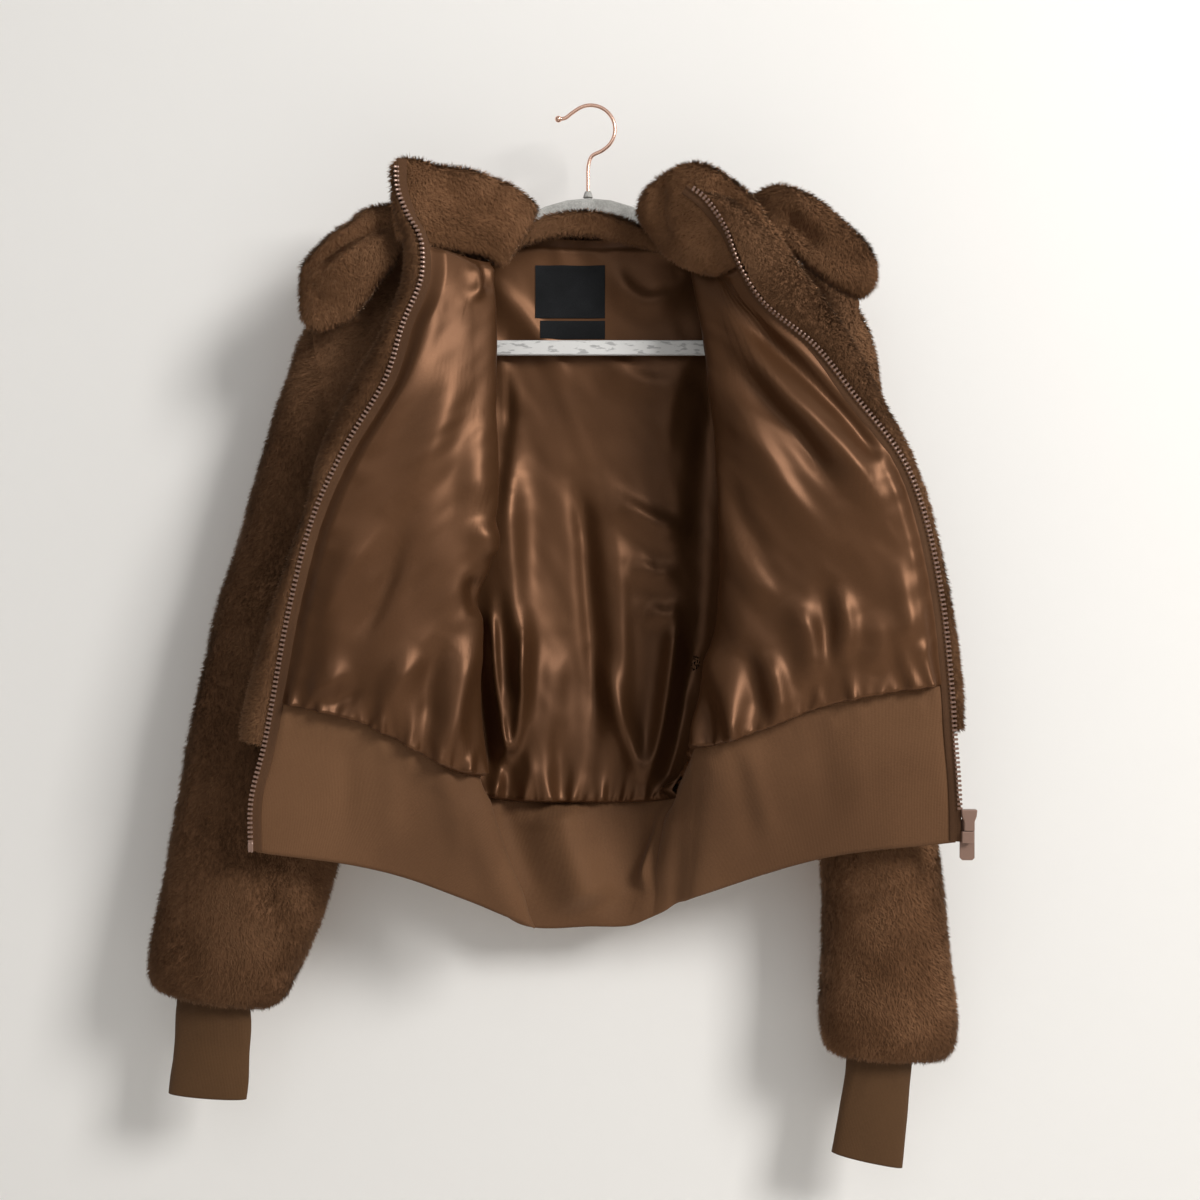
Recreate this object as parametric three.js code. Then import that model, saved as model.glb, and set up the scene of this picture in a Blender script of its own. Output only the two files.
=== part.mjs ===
// Cropped faux fur jacket with a satin lining, hanging open on a slim hanger.
// Millimetres. +Z is up, the open front faces -Y and the wall is on the +Y side. "Left" and
// "right" are the viewer's. The origin is the inside of the hook, where the nail touches it.
//
// The cloth follows lines that run down the garment. A level says how far down a line a point
// is: -1 the collar's top, 0 the neckline and shoulder seam, 1 the waist seam, 2 the hem.
import * as THREE from 'three';

// ---------- driving sizes ----------
const SEAM_GAP = 0.3;        // between pieces that are sewn together
const LINING_WALL = 1.2;     // satin and its seam allowances
const FUR_INNER = 2.0;       // from the lining's face to the fur panel's inner face
const FUR_WALL = 9;          // knitted backing and pile
const BAND_WALL = 4;         // rib knit, folded double
const CUFF_WALL = 3;
const TAPE_WIDTH = 8;
const TAPE_WALL = 1.4;
const CHAIN_WIDTH = 4.8;
const CHAIN_WALL = 2.4;
const CHAIN_LIFT = 0.6;      // clear of the tape, which twists with the fronts
const UNDERARM_LEVEL = 0.55;
const FUR_HEM_LEVEL = 1.28;  // the fur blouses over the waistband down to here

const SIDES = [
  { name: 'left', out: -1 },
  { name: 'right', out: 1 },
];

// ---------- short tables with named columns ----------
const table = (columns, rows) =>
  rows.map((row) => Object.fromEntries(columns.map((name, index) => [name, row[index]])));

// The zip's line, and how far the fur stands out past it.
const ZIP_LINE = table(
  ['level', 'leftX', 'leftY', 'leftZ', 'leftPast', 'rightX', 'rightY', 'rightZ', 'rightPast'], [
    [-1.00, -142, -72, -58, 5, 76, -84, -82, 20],
    [-0.66, -141, -73, -83, 6, 92, -85, -95, 24],
    [-0.33, -134, -74, -103, 9, 107, -86, -117, 34],
    [0.00, -123, -76, -126, 14, 119, -87, -147, 44],
    [0.08, -123, -78, -153, 15, 135, -88, -172, 46],
    [0.18, -136, -82, -188, 15, 171, -89, -203, 32],
    [0.30, -148, -86, -229, 24, 200, -90, -240, 22],
    [0.45, -178, -89, -281, 19, 236, -90, -287, 10],
    [0.60, -201, -90, -332, 9, 254, -90, -333, 7],
    [0.80, -219, -90, -401, 15, 267, -88, -395, 8],
    [1.00, -232, -87, -470, 22, 274, -86, -457, 10],
    [1.30, -239, -84, -504, 20, 277, -84, -493, 8],
    [1.65, -249, -82, -544, 0, 281, -81, -535, 0],
    [2.00, -250, -79, -583, 0, 283, -78, -576, 0],
  ]);

// The edge where each front folds back on itself. Radius is the fold's, and turn is how far
// it doubles back: 1 is a hairpin, 0 runs straight to the wall.
const FRONT_FOLD = table(
  ['level', 'leftX', 'leftY', 'leftZ', 'leftTurn',
    'rightX', 'rightY', 'rightZ', 'rightTurn', 'radius'], [
    [0.00, -74, -34, -131, 0.7, 88, -32, -131, 0.7, 13],
    [0.08, -73, -44, -163, 0.9, 92, -44, -165, 0.9, 14],
    [0.18, -72, -52, -203, 1.0, 98, -52, -203, 1.0, 14],
    [0.30, -72, -57, -250, 1.0, 103, -57, -250, 1.0, 14],
    [0.45, -71, -61, -310, 1.0, 106, -60, -310, 1.0, 14],
    [0.60, -78, -63, -370, 1.0, 111, -60, -365, 0.9, 14],
    [0.80, -85, -63, -449, 1.0, 101, -58, -440, 0.3, 15],
    [1.00, -80, -61, -529, 1.0, 86, -55, -508, -0.2, 15],
    [1.30, -70, -57, -565, 1.0, 85, -46, -545, -0.6, 13],
    [1.65, -57, -50, -606, 1.0, 83, -31, -592, -0.8, 10],
    [2.00, -39, -43, -648, 1.0, 80, -19, -631, -0.9, 8],
  ]);

// The line from the neck point down the middle of the stretch behind each fold.
const NECK_POINT_LINE = table(
  ['level', 'leftX', 'leftY', 'leftZ', 'rightX', 'rightY', 'rightZ'], [
    [0.00, -98, 3, -106, 101, 3, -106],
    [0.05, -98, -15, -128, 104, -15, -128],
    [0.18, -108, -28, -195, 122, -28, -190],
    [0.30, -116, -31, -243, 134, -30, -238],
    [0.45, -122, -31, -305, 138, -28, -303],
    [0.60, -122, -30, -372, 132, -25, -370],
    [0.80, -116, -29, -458, 106, -22, -456],
    [1.00, -104, -29, -538, 78, -21, -534],
    [1.30, -94, -27, -566, 70, -19, -564],
    [2.00, -72, -23, -630, 64, -8, -641],
  ]);

// The shoulder's end, the armhole and the side seam. Open is how far the armhole's front and
// back edges stand apart on each side of the line.
const SIDE_LINE = table(
  ['level', 'leftX', 'leftY', 'leftZ', 'rightX', 'rightY', 'rightZ', 'open'], [
    [0.00, -216, 3, -166, 216, 3, -162, 0],
    [0.08, -212, 3, -196, 212, 3, -192, 14],
    [0.18, -206, 2, -232, 206, 2, -230, 21],
    [0.30, -198, 2, -274, 198, 2, -274, 24],
    [0.45, -184, 1, -338, 184, 1, -338, 17],
    [0.55, -172, 1, -382, 172, 1, -382, 0],
    [0.80, -143, 0, -470, 132, 0, -470, 0],
    [1.00, -120, -2, -543, 76, -2, -552, 0],
    [1.30, -113, -3, -566, 65, -2, -582, 0],
    [2.00, -95, -4, -614, 54, -2, -647, 0],
  ]);

// The back: its middle line, and the line below each neck point.
const BACK_LINE = table(
  ['level', 'middleY', 'middleZ', 'leftX', 'leftZ', 'rightX', 'rightZ', 'quarterY'], [
    [0.00, 12, -104, -98, -106, 101, -106, 3],
    [0.05, 14, -127, -97, -129, 100, -129, 14],
    [0.18, 17, -186, -95, -188, 98, -188, 18],
    [0.45, 21, -308, -91, -309, 94, -309, 21],
    [0.80, 20, -467, -80, -467, 80, -467, 19],
    [1.00, 13, -558, -66, -556, 52, -557, 12],
    [1.30, 10, -588, -60, -584, 46, -588, 9],
    [2.00, 5, -656, -52, -646, 36, -655, 3],
  ]);
const BACK_MIDDLE_X = 6;

// The sleeves' flat widths, as the two ends of each: the outer one starts at the shoulder and
// the inner one at the underarm. Deep is half the sleeve's depth from front to back.
const SLEEVES = {
  left: table(['outerX', 'outerZ', 'innerX', 'innerZ', 'y', 'deep'], [
    [-217.5, -168, -176, -386, 2, 23],
    [-227, -192, -186, -397, 1, 27],
    [-241, -245, -190, -420, 0, 32],
    [-262, -325, -189, -452, -2, 35],
    [-287, -402, -186, -492, -4, 36],
    [-304, -480, -188, -540, -6, 36],
    [-317, -556, -199, -590, -8, 36],
    [-329, -622, -213, -638, -10, 35],
    [-339, -678, -232, -686, -12, 33],
    [-336, -697, -245, -710, -13, 24],
    [-324, -702, -262, -712, -14, 12],
  ]),
  right: table(['outerX', 'outerZ', 'innerX', 'innerZ', 'y', 'deep'], [
    [217.5, -164, 176, -386, 2, 23],
    [227, -187, 186, -398, 1, 27],
    [234, -241, 190, -424, 0, 32],
    [242, -326, 190, -460, -1, 35],
    [252, -408, 189, -508, -2, 36],
    [262, -488, 190, -560, -3, 36],
    [272, -568, 194, -612, -4, 36],
    [280, -648, 195, -666, -5, 36],
    [288, -730, 193, -730, -6, 34],
    [283, -752, 199, -750, -6, 24],
    [264, -755, 207, -752, -6, 12],
  ]),
};
const CUFFS = {
  left: table(['outerX', 'outerZ', 'innerX', 'innerZ', 'y', 'deep'], [
    [-322, -698, -264.5, -707, -14, 10],
    [-325, -740, -264, -745, -14, 10],
    [-330, -784, -267, -789, -14, 9],
  ]),
  right: table(['outerX', 'outerZ', 'innerX', 'innerZ', 'y', 'deep'], [
    [261.5, -750, 209.5, -747, -6, 10],
    [257, -797, 203, -791, -6, 10],
    [253, -846, 196, -833, -6, 9],
  ]),
};

// Padded rolls: each row is a section from its low edge to its high edge, with its thickness.
const ROLL_COLUMNS = ['lowX', 'lowY', 'lowZ', 'highX', 'highY', 'highZ', 'thick'];
const COLLAR_LEFT = table(ROLL_COLUMNS, [
  [-141, -64, -122, -149, -61, -59, 9],
  [-127, -63, -124, -139, -58, -53, 13],
  [-110, -54, -126, -114, -48, -57, 15],
  [-93, -45, -127, -89, -38, -58, 16],
  [-80, -34, -123, -66, -27, -64, 16],
  [-71, -24, -120, -49, -19, -70, 15],
  [-65, -15, -116, -37, -14, -81, 13],
]);
const COLLAR_BACK = table(ROLL_COLUMNS, [
  [-58, -9, -118, -45, -11, -99, 8],
  [-42, -9, -111, -34, -14, -90, 12],
  [-12, -9, -105, -8, -15, -83, 14],
  [14, -9, -107, 16, -15, -85, 14],
  [42, -9, -113, 42, -14, -96, 12],
  [60, -9, -117, 58, -12, -104, 9],
]);
const COLLAR_RIGHT = table(ROLL_COLUMNS, [
  [166, -73, -148, 125, -70, -86, 13],
  [145, -72, -144, 102, -68, -68, 19],
  [120, -69, -138, 82, -66, -60, 20],
  [99, -59, -133, 63, -61, -66, 18],
  [85, -46, -123, 50, -47, -78, 17],
  [76, -32, -117, 47, -31, -87, 15],
  [71, -20, -113, 50, -18, -95, 11],
]);
// The turned-down part of the collar: a tab in front of each shoulder, joined behind the neck.
const COLLAR_FALL = table(ROLL_COLUMNS, [
  [-217, -49, -180, -218, -49, -134, 12],
  [-208, -49, -188, -207, -49, -122, 20],
  [-194, -49, -186, -194, -49, -111, 22],
  [-181, -49, -179, -182, -48, -102, 22],
  [-168, -48, -164, -169, -46, -90, 21],
  [-152, -45, -142, -153, -42, -85, 20],
  [-133, -37, -112, -132, -34, -80, 18],
  [-112, -14, -92, -110, -14, -74, 16],
  [-94, 14, -92, -88, 10, -74, 15],
  [-82, 36, -118, -64, 26, -80, 14],
  [-46, 44, -158, -40, 33, -88, 14],
  [6, 47, -170, 6, 35, -90, 14],
  [58, 44, -158, 52, 33, -88, 14],
  [90, 36, -118, 74, 26, -78, 14],
  [100, 14, -90, 96, 10, -71, 15],
  [114, -14, -90, 114, -14, -70, 16],
  [132, -36, -105, 131, -33, -78, 18],
  [149, -45, -110, 148, -42, -72, 21],
  [167, -48, -125, 167, -47, -77, 23],
  [185, -49, -137, 187, -48, -91, 23],
  [202, -49, -151, 204, -49, -105, 23],
  [215, -49, -157, 217, -49, -119, 20],
  [224, -49, -152, 225, -49, -131, 12],
]);

// Hanger and hook.
const HANGER = {
  middleX: 3, top: -72.8, crown: 42, curve: 0.0055, slope: 0.585, reach: 214,
  armHeight: 18, barTop: -186.4, barHeight: 12, thick: 5, holeReach: 150, holeTall: 3, chamfer: 4,
};
const HOOK = {
  wireRadius: 1.5, ballRadius: 2.7, bendX: 4.6, bendZ: -17.5, bendRadius: 19.3, stemX: 2.4,
  stemEnd: -67,
};
const HOOK_SOCKET = { topRadius: 2.6, footRadius: 4.2, tall: 5 };

// Labels: their places on the back lining.
const LABELS = [
  { name: 'label_main', x: [-40, 16], z: [-125, -167], columns: 4, rows: 3, lift: 0.4, thick: 0.8 },
  { name: 'label_size', x: [-36, 16], z: [-168, -183.5], columns: 4, rows: 2, lift: 0.4, thick: 0.6 },
];

// Zip slider at the right edge's foot, with its pull on the far side.
const SLIDER = {
  x: 288.6, y: -81, topZ: -551, footZ: -567, wide: 12, waist: 8, thick: 6.4,
  wingTall: 5, waistFrom: 9,
};
const PULL = {
  wide: 11, thick: 1.6, reach: 30, above: 1.0, chamfer: 1.8,
  holeWide: 4.8, holeFrom: 0.9, holeTo: 9,
};
const ZIP_BOX = { wide: 9, deep: 5, tall: 9, inset: 1 };
const BRIDGE = {
  wide: 2.4, tall: 8, rise: 5, chamfer: 1.2, holeTall: 4.4, holeNear: 0.5, holeFar: 3.9,
};
const HINGE_Z = -560;

// ---------- reading the tables ----------
// Smooth value of a column at a level: a cubic through the rows, with the slopes of the chords.
function valueAt(rows, column, level) {
  const last = rows.length - 1;
  let index = rows.findIndex((row, k) => k < last && level <= rows[k + 1].level);
  if (index < 0) index = last - 1;
  const slope = (k) => {
    const before = rows[Math.max(k - 1, 0)];
    const after = rows[Math.min(k + 1, last)];
    return (after[column] - before[column]) / (after.level - before.level);
  };
  const from = rows[index];
  const to = rows[index + 1];
  const span = to.level - from.level;
  const t = THREE.MathUtils.clamp((level - from.level) / span, 0, 1);
  const t2 = t * t;
  const t3 = t2 * t;
  return (2 * t3 - 3 * t2 + 1) * from[column] + (t3 - 2 * t2 + t) * span * slope(index)
    + (3 * t2 - 2 * t3) * to[column] + (t3 - t2) * span * slope(index + 1);
}

const openAt = (level) => Math.max(valueAt(SIDE_LINE, 'open', level), 0);

const lineAt = (rows, side, level) => new THREE.Vector3(
  valueAt(rows, `${side.name}X`, level),
  valueAt(rows, `${side.name}Y`, level),
  valueAt(rows, `${side.name}Z`, level));

// ---------- solids ----------
// A closed solid from shared corners and triangles, turned so that its faces point out.
function closedSolid(points, triangles) {
  const geometry = new THREE.BufferGeometry();
  const places = points.flatMap((point) => [point.x, point.y, point.z]);
  geometry.setAttribute('position', new THREE.Float32BufferAttribute(places, 3));
  let volume = 0;
  for (let k = 0; k < triangles.length; k += 3) {
    const [a, b, c] = [points[triangles[k]], points[triangles[k + 1]], points[triangles[k + 2]]];
    volume += a.dot(new THREE.Vector3().crossVectors(b, c)) / 6;
  }
  geometry.setIndex(volume > 0 ? triangles : triangles.slice().reverse());
  geometry.computeVertexNormals();
  return geometry;
}

// A wall between two grids of points. Its first triangles are the outer skin, row by row, then
// the inner skin, then the rims. A closed wall is a tube whose last column meets its first.
function wallSolid(inner, outer, closed = false) {
  const rows = inner.length;
  const columns = inner[0].length;
  const at = (skin, row, column) => (skin * rows + row) * columns + (column % columns);
  const triangles = [];
  const quad = (a, b, c, d) => triangles.push(a, b, c, a, c, d);
  const spans = closed ? columns : columns - 1;
  for (const skin of [0, 1]) {
    for (let row = 0; row < rows - 1; row += 1) {
      for (let column = 0; column < spans; column += 1) {
        const corners = [at(skin, row, column), at(skin, row, column + 1),
          at(skin, row + 1, column + 1), at(skin, row + 1, column)];
        if (skin === 0) quad(...corners);
        else quad(corners[0], corners[3], corners[2], corners[1]);
      }
    }
  }
  const foot = rows - 1;
  for (let column = 0; column < spans; column += 1) {
    quad(at(0, 0, column + 1), at(0, 0, column), at(1, 0, column), at(1, 0, column + 1));
    quad(at(0, foot, column), at(0, foot, column + 1), at(1, foot, column + 1), at(1, foot, column));
  }
  for (let row = 0; row < foot && !closed; row += 1) {
    quad(at(0, row, 0), at(0, row + 1, 0), at(1, row + 1, 0), at(1, row, 0));
    quad(at(0, row, spans), at(1, row, spans), at(1, row + 1, spans), at(0, row + 1, spans));
  }
  return closedSolid([...outer.flat(), ...inner.flat()], triangles);
}

// A solid through closed rings of equal count, with a flat fan over each end.
function ringSolid(rings) {
  const count = rings[0].length;
  const points = rings.flat();
  const triangles = [];
  for (let ring = 0; ring < rings.length - 1; ring += 1) {
    for (let k = 0; k < count; k += 1) {
      const a = ring * count + k;
      const b = ring * count + (k + 1) % count;
      triangles.push(a, b, b + count, a, b + count, a + count);
    }
  }
  for (const [ring, flip] of [[0, true], [rings.length - 1, false]]) {
    const sum = new THREE.Vector3();
    rings[ring].forEach((point) => sum.add(point));
    points.push(sum.divideScalar(count));
    for (let k = 0; k < count; k += 1) {
      const a = ring * count + k;
      const b = ring * count + (k + 1) % count;
      triangles.push(points.length - 1, flip ? b : a, flip ? a : b);
    }
  }
  return closedSolid(points, triangles);
}

// ---------- the cloth's shape ----------
const FRONT_KNOTS = { neck: 5, side: 6 };  // of the seven knots, zip first
const SEAM_SPANS = 3;  // both fronts and the back share this many spans along the shoulder seam
const FRONT_STEPS = [0.5, 1, 1.5, 2, 2.5, 3, 3.5, 4, 4.5, 5, 5 + 1 / 3, 5 + 2 / 3, 6];
const BACK_STEPS = [0, 1 / 3, 2 / 3, 1, 1.4, 1.8, 2.2, 2.6, 3, 3 + 1 / 3, 3 + 2 / 3, 4];
const WING_RISE = { middle: 0.72, foldIn: 0.09 };  // how the seam climbs from the fold to the zip
const WING_SAG = 5;                               // the opened front bows to the viewer
const SHOULDER_EASE = 1.2;                        // the sleeve's head turns sharply here
const SHOULDER_RISE = 7;                          // the shoulder seam bows up between its ends

// The shoulder seam, from the neck point (0) to the shoulder's end (1).
function shoulderAt(side, share) {
  const neck = lineAt(NECK_POINT_LINE, side, 0);
  const tip = lineAt(SIDE_LINE, side, 0);
  const point = neck.lerp(tip, share);
  point.z += SHOULDER_RISE * 4 * share * (1 - share);
  return point;
}

// One cross-section of a front, from the zip to the side: a smooth curve through seven knots.
function frontCurve(side, level) {
  const zip = lineAt(ZIP_LINE, side, level);
  const fold = lineAt(FRONT_FOLD, side, level);
  const radius = valueAt(FRONT_FOLD, 'radius', level);
  const turn = valueAt(FRONT_FOLD, `${side.name}Turn`, level);
  const rise = zip.z - fold.z;
  const foldIn = new THREE.Vector3(
    fold.x + side.out * radius * 1.1, fold.y - radius, fold.z + rise * WING_RISE.foldIn);
  const wing = zip.clone().lerp(foldIn, 0.5);
  wing.z = fold.z + rise * WING_RISE.middle;
  const bow = THREE.MathUtils.smoothstep(level, 0, 0.4);
  wing.y -= WING_SAG * bow * (1 - 0.6 * THREE.MathUtils.smoothstep(level, 0.8, 1.2));
  const neck = lineAt(NECK_POINT_LINE, side, level);
  const foldOut = new THREE.Vector3(
    fold.x + side.out * radius * turn, fold.y + radius, THREE.MathUtils.lerp(fold.z, neck.z, 0.35));
  const end = lineAt(SIDE_LINE, side, level);
  end.y -= openAt(level);
  const knots = [zip, wing, foldIn, fold, foldOut, neck, end];
  return new THREE.CatmullRomCurve3(knots, false, 'centripetal');
}

// Which way the zip runs at a level.
function zipDown(side, level) {
  const step = 0.02;
  return lineAt(ZIP_LINE, side, level + step).sub(lineAt(ZIP_LINE, side, level - step)).normalize();
}

function frontRow(side, level) {
  const curve = frontCurve(side, level);
  const across = curve.points[1].clone().sub(curve.points[0]);
  const slant = across.clone().normalize().cross(zipDown(side, level)).length();
  const tapeStep = TAPE_WIDTH / slant / across.length();
  const row = [0, tapeStep, ...FRONT_STEPS].map((knot) => curve.getPoint(knot / FRONT_KNOTS.side));
  if (level > 0) return row;
  return row.map((point, column) => {
    const knot = FRONT_STEPS[column - 2];
    return knot >= FRONT_KNOTS.neck ? shoulderAt(side, knot - FRONT_KNOTS.neck) : point;
  });
}

function backRow(level) {
  const knots = SIDES.map((side) => {
    const end = lineAt(SIDE_LINE, side, level);
    end.y += openAt(level);
    const quarter = new THREE.Vector3(valueAt(BACK_LINE, `${side.name}X`, level),
      valueAt(BACK_LINE, 'quarterY', level), valueAt(BACK_LINE, `${side.name}Z`, level));
    return [end, quarter];
  });
  const middle = new THREE.Vector3(BACK_MIDDLE_X,
    valueAt(BACK_LINE, 'middleY', level), valueAt(BACK_LINE, 'middleZ', level));
  const curve = new THREE.CatmullRomCurve3(
    [knots[0][0], knots[0][1], middle, knots[1][1], knots[1][0]], false, 'centripetal');
  return BACK_STEPS.map((knot) => {
    if (level === 0 && knot <= 1) return shoulderAt(SIDES[0], 1 - knot);
    if (level === 0 && knot >= 3) return shoulderAt(SIDES[1], knot - 3);
    return curve.getPoint(knot / 4);
  });
}

// Directions out of the garment at each point of a grid.
function outwardNormals(grid, outward) {
  return grid.map((row, r) => row.map((_, c) => {
    const down = grid[Math.min(r + 1, grid.length - 1)][c].clone().sub(grid[Math.max(r - 1, 0)][c]);
    const along = row[Math.min(c + 1, row.length - 1)].clone().sub(row[Math.max(c - 1, 0)]);
    return down.cross(along).multiplyScalar(outward).normalize();
  }));
}

// Where the front meets the back, both take the same direction, so their edges are one plane.
function shareNormals(level, side, frontNormals, backNormals) {
  const backColumn = side.out < 0 ? 0 : BACK_STEPS.length - 1;
  const frontColumn = frontNormals.length - 1;
  if (level === 0) {
    const seam = shoulderAt(side, 1).sub(shoulderAt(side, 0));
    const up = new THREE.Vector3(-seam.z * side.out, 0, seam.x * side.out).normalize();
    for (let k = 0; k <= SEAM_SPANS; k += 1) {
      frontNormals[frontColumn - k] = up.clone();
      backNormals[backColumn - side.out * k] = up.clone();
    }
  } else if (level >= UNDERARM_LEVEL) {
    const shared = frontNormals[frontColumn].clone().add(backNormals[backColumn]).normalize();
    frontNormals[frontColumn] = shared;
    backNormals[backColumn] = shared.clone();
  }
}

// The whole body at a list of levels: grids of points and of outward directions.
function bodyAt(levels) {
  const shape = { levels, back: levels.map(backRow) };
  shape.backNormals = outwardNormals(shape.back, -1);
  for (const side of SIDES) {
    const grid = levels.map((level) => frontRow(side, level));
    const normals = outwardNormals(grid, side.out);
    levels.forEach((level, row) => {
      shareNormals(level, side, normals[row], shape.backNormals[row]);
    });
    shape[side.name] = { grid, normals };
  }
  return shape;
}

const moved = (grid, normals, distance) => grid.map((row, r) => row.map((point, c) => {
  const reach = typeof distance === 'function' ? distance(r, c) : distance;
  return point.clone().addScaledVector(normals[r][c], reach);
}));

// Draws the edges of a grid in by half a seam gap, and a little more.
const TRIM = SEAM_GAP / 2 + 0.12;
function trimmed(grid, edges = ['top', 'foot', 'first', 'last']) {
  const towards = (point, other) => point.clone().add(other.clone().sub(point).setLength(TRIM));
  const foot = grid.length - 1;
  const out = grid.slice();
  if (edges.includes('top')) out[0] = grid[0].map((point, c) => towards(point, grid[1][c]));
  if (edges.includes('foot')) {
    out[foot] = grid[foot].map((point, c) => towards(point, grid[foot - 1][c]));
  }
  return out.map((row) => {
    const copy = row.slice();
    const end = row.length - 1;
    if (edges.includes('first')) copy[0] = towards(row[0], row[1]);
    if (edges.includes('last')) copy[end] = towards(row[end], row[end - 1]);
    return copy;
  });
}

// A wall on part of the body's shape, from one depth to another.
function panel(grid, normals, near, far) {
  return wallSolid(trimmed(moved(grid, normals, near)), trimmed(moved(grid, normals, far)));
}

// ---------- body levels ----------
const LINING_LEVELS = [0, 0.05, 0.11, 0.18, 0.27, 0.36, 0.46, UNDERARM_LEVEL, 0.66, 0.77, 0.88, 1];
const FUR_LEVELS = [...LINING_LEVELS, 1.14, FUR_HEM_LEVEL];
const BAND_LEVELS = [1, 1.14, FUR_HEM_LEVEL, 1.64, 2];

// The fur lies close on the lining and outside the waistband, where it blouses.
const furNear = (level) => (level >= 1 ? BAND_WALL + 1 : FUR_INNER);
function furFar(level) {
  if (level >= FUR_HEM_LEVEL) return BAND_WALL + 6;
  return level >= 1 ? BAND_WALL + 9 : FUR_INNER + FUR_WALL;
}

// ---------- pieces ----------
const jacket = new THREE.Group();
const COLOURS = {
  fur: { color: 0x5d4436, roughness: 0.95, metalness: 0 },
  satin: { color: 0x6b4429, roughness: 0.35, metalness: 0 },
  knit: { color: 0x6f4e37, roughness: 0.85, metalness: 0 },
  tape: { color: 0x5a3d2b, roughness: 0.8, metalness: 0 },
  zipTeeth: { color: 0x94766a, roughness: 0.4, metalness: 0.3 },
  label: { color: 0x1d1f22, roughness: 0.8, metalness: 0 },
  velvet: { color: 0xb9b9b2, roughness: 0.9, metalness: 0 },
  roseGold: { color: 0xc79a86, roughness: 0.25, metalness: 1 },
};

function addPiece(name, geometry, finish) {
  const mesh = new THREE.Mesh(geometry, new THREE.MeshStandardMaterial(COLOURS[finish]));
  mesh.name = name;
  jacket.add(mesh);
  return mesh;
}

// Fronts and back, in fur. A front's fur runs on past the zip by two more columns.
function addFurPanels() {
  const body = bodyAt(FUR_LEVELS);
  const near = (row) => furNear(FUR_LEVELS[row]);
  const far = (row) => furFar(FUR_LEVELS[row]);
  addPiece('back_fur', panel(body.back, body.backNormals, near, far), 'fur');
  for (const side of SIDES) {
    const { grid, normals } = body[side.name];
    const wideGrid = grid.map((row, r) => {
      const past = valueAt(ZIP_LINE, `${side.name}Past`, FUR_LEVELS[r]);
      const sideways = new THREE.Vector3(side.out, 0.1, 0.15);
      const step = row[0].clone().sub(row[2]).normalize()
        .lerp(sideways, 1 - THREE.MathUtils.smoothstep(FUR_LEVELS[r], 0.1, 0.4)).normalize();
      return [
        row[0].clone().addScaledVector(step, past).add(new THREE.Vector3(0, 5, 0)),
        row[0].clone().addScaledVector(step, past * 0.55).add(new THREE.Vector3(0, 1.5, 0)),
        ...row,
      ];
    });
    const wideNormals = normals.map((row) => [row[0], row[0], ...row]);
    const rounded = (reach) => (row, column) => reach(row) - (column === 0 ? 3 : 0);
    const geometry = wallSolid(
      trimmed(moved(wideGrid, wideNormals, near), ['top', 'foot', 'last']),
      trimmed(moved(wideGrid, wideNormals, rounded(far)), ['top', 'foot', 'last']));
    addPiece(`front_${side.name}_fur`, geometry, 'fur');
  }
}

// The lining, from the tape's inner edge round to the side seams.
function addLinings() {
  const body = bodyAt(LINING_LEVELS);
  const back = addPiece('back_lining', panel(body.back, body.backNormals, 0, LINING_WALL), 'satin');
  for (const side of SIDES) {
    const grid = body[side.name].grid.map((row) => row.slice(1));
    const normals = body[side.name].normals.map((row) => row.slice(1));
    addPiece(`front_${side.name}_lining`, panel(grid, normals, 0, LINING_WALL), 'satin');
  }
  return back;
}

// One knitted band from zip to zip, sewn to the body at the waist seam.
function addWaistband() {
  const body = bodyAt(BAND_LEVELS);
  const inOrder = (front, key) => front[key].map((row) => row.slice(1));
  const joinRows = (left, middle, right) => left.map((row, r) => [
    ...row, ...middle[r].slice(1, -1), ...right[r].slice().reverse()]);
  const grid = joinRows(inOrder(body.left, 'grid'), body.back, inOrder(body.right, 'grid'));
  const normals = joinRows(
    inOrder(body.left, 'normals'), body.backNormals, inOrder(body.right, 'normals'));
  addPiece('waistband', panel(grid, normals, 0, BAND_WALL), 'knit');
}

// Tubes from the tables of flat widths: each ring is an oval, flattened as the sleeve hangs.
const RING_POINTS = 2 * LINING_LEVELS.filter((level) => level < UNDERARM_LEVEL).length;
function ovalRings(rows, grow) {
  return rows.map((row) => {
    const outer = new THREE.Vector3(row.outerX, row.y, row.outerZ);
    const inner = new THREE.Vector3(row.innerX, row.y, row.innerZ);
    const middle = outer.clone().lerp(inner, 0.5);
    const reach = outer.clone().sub(inner).multiplyScalar(0.5);
    reach.setLength(reach.length() + grow);
    return Array.from({ length: RING_POINTS }, (_, k) => {
      const angle = 2 * Math.PI * k / RING_POINTS;
      const point = middle.clone().addScaledVector(reach, Math.cos(angle));
      point.y -= (row.deep + grow) * Math.sin(angle);
      return point;
    });
  });
}

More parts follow.
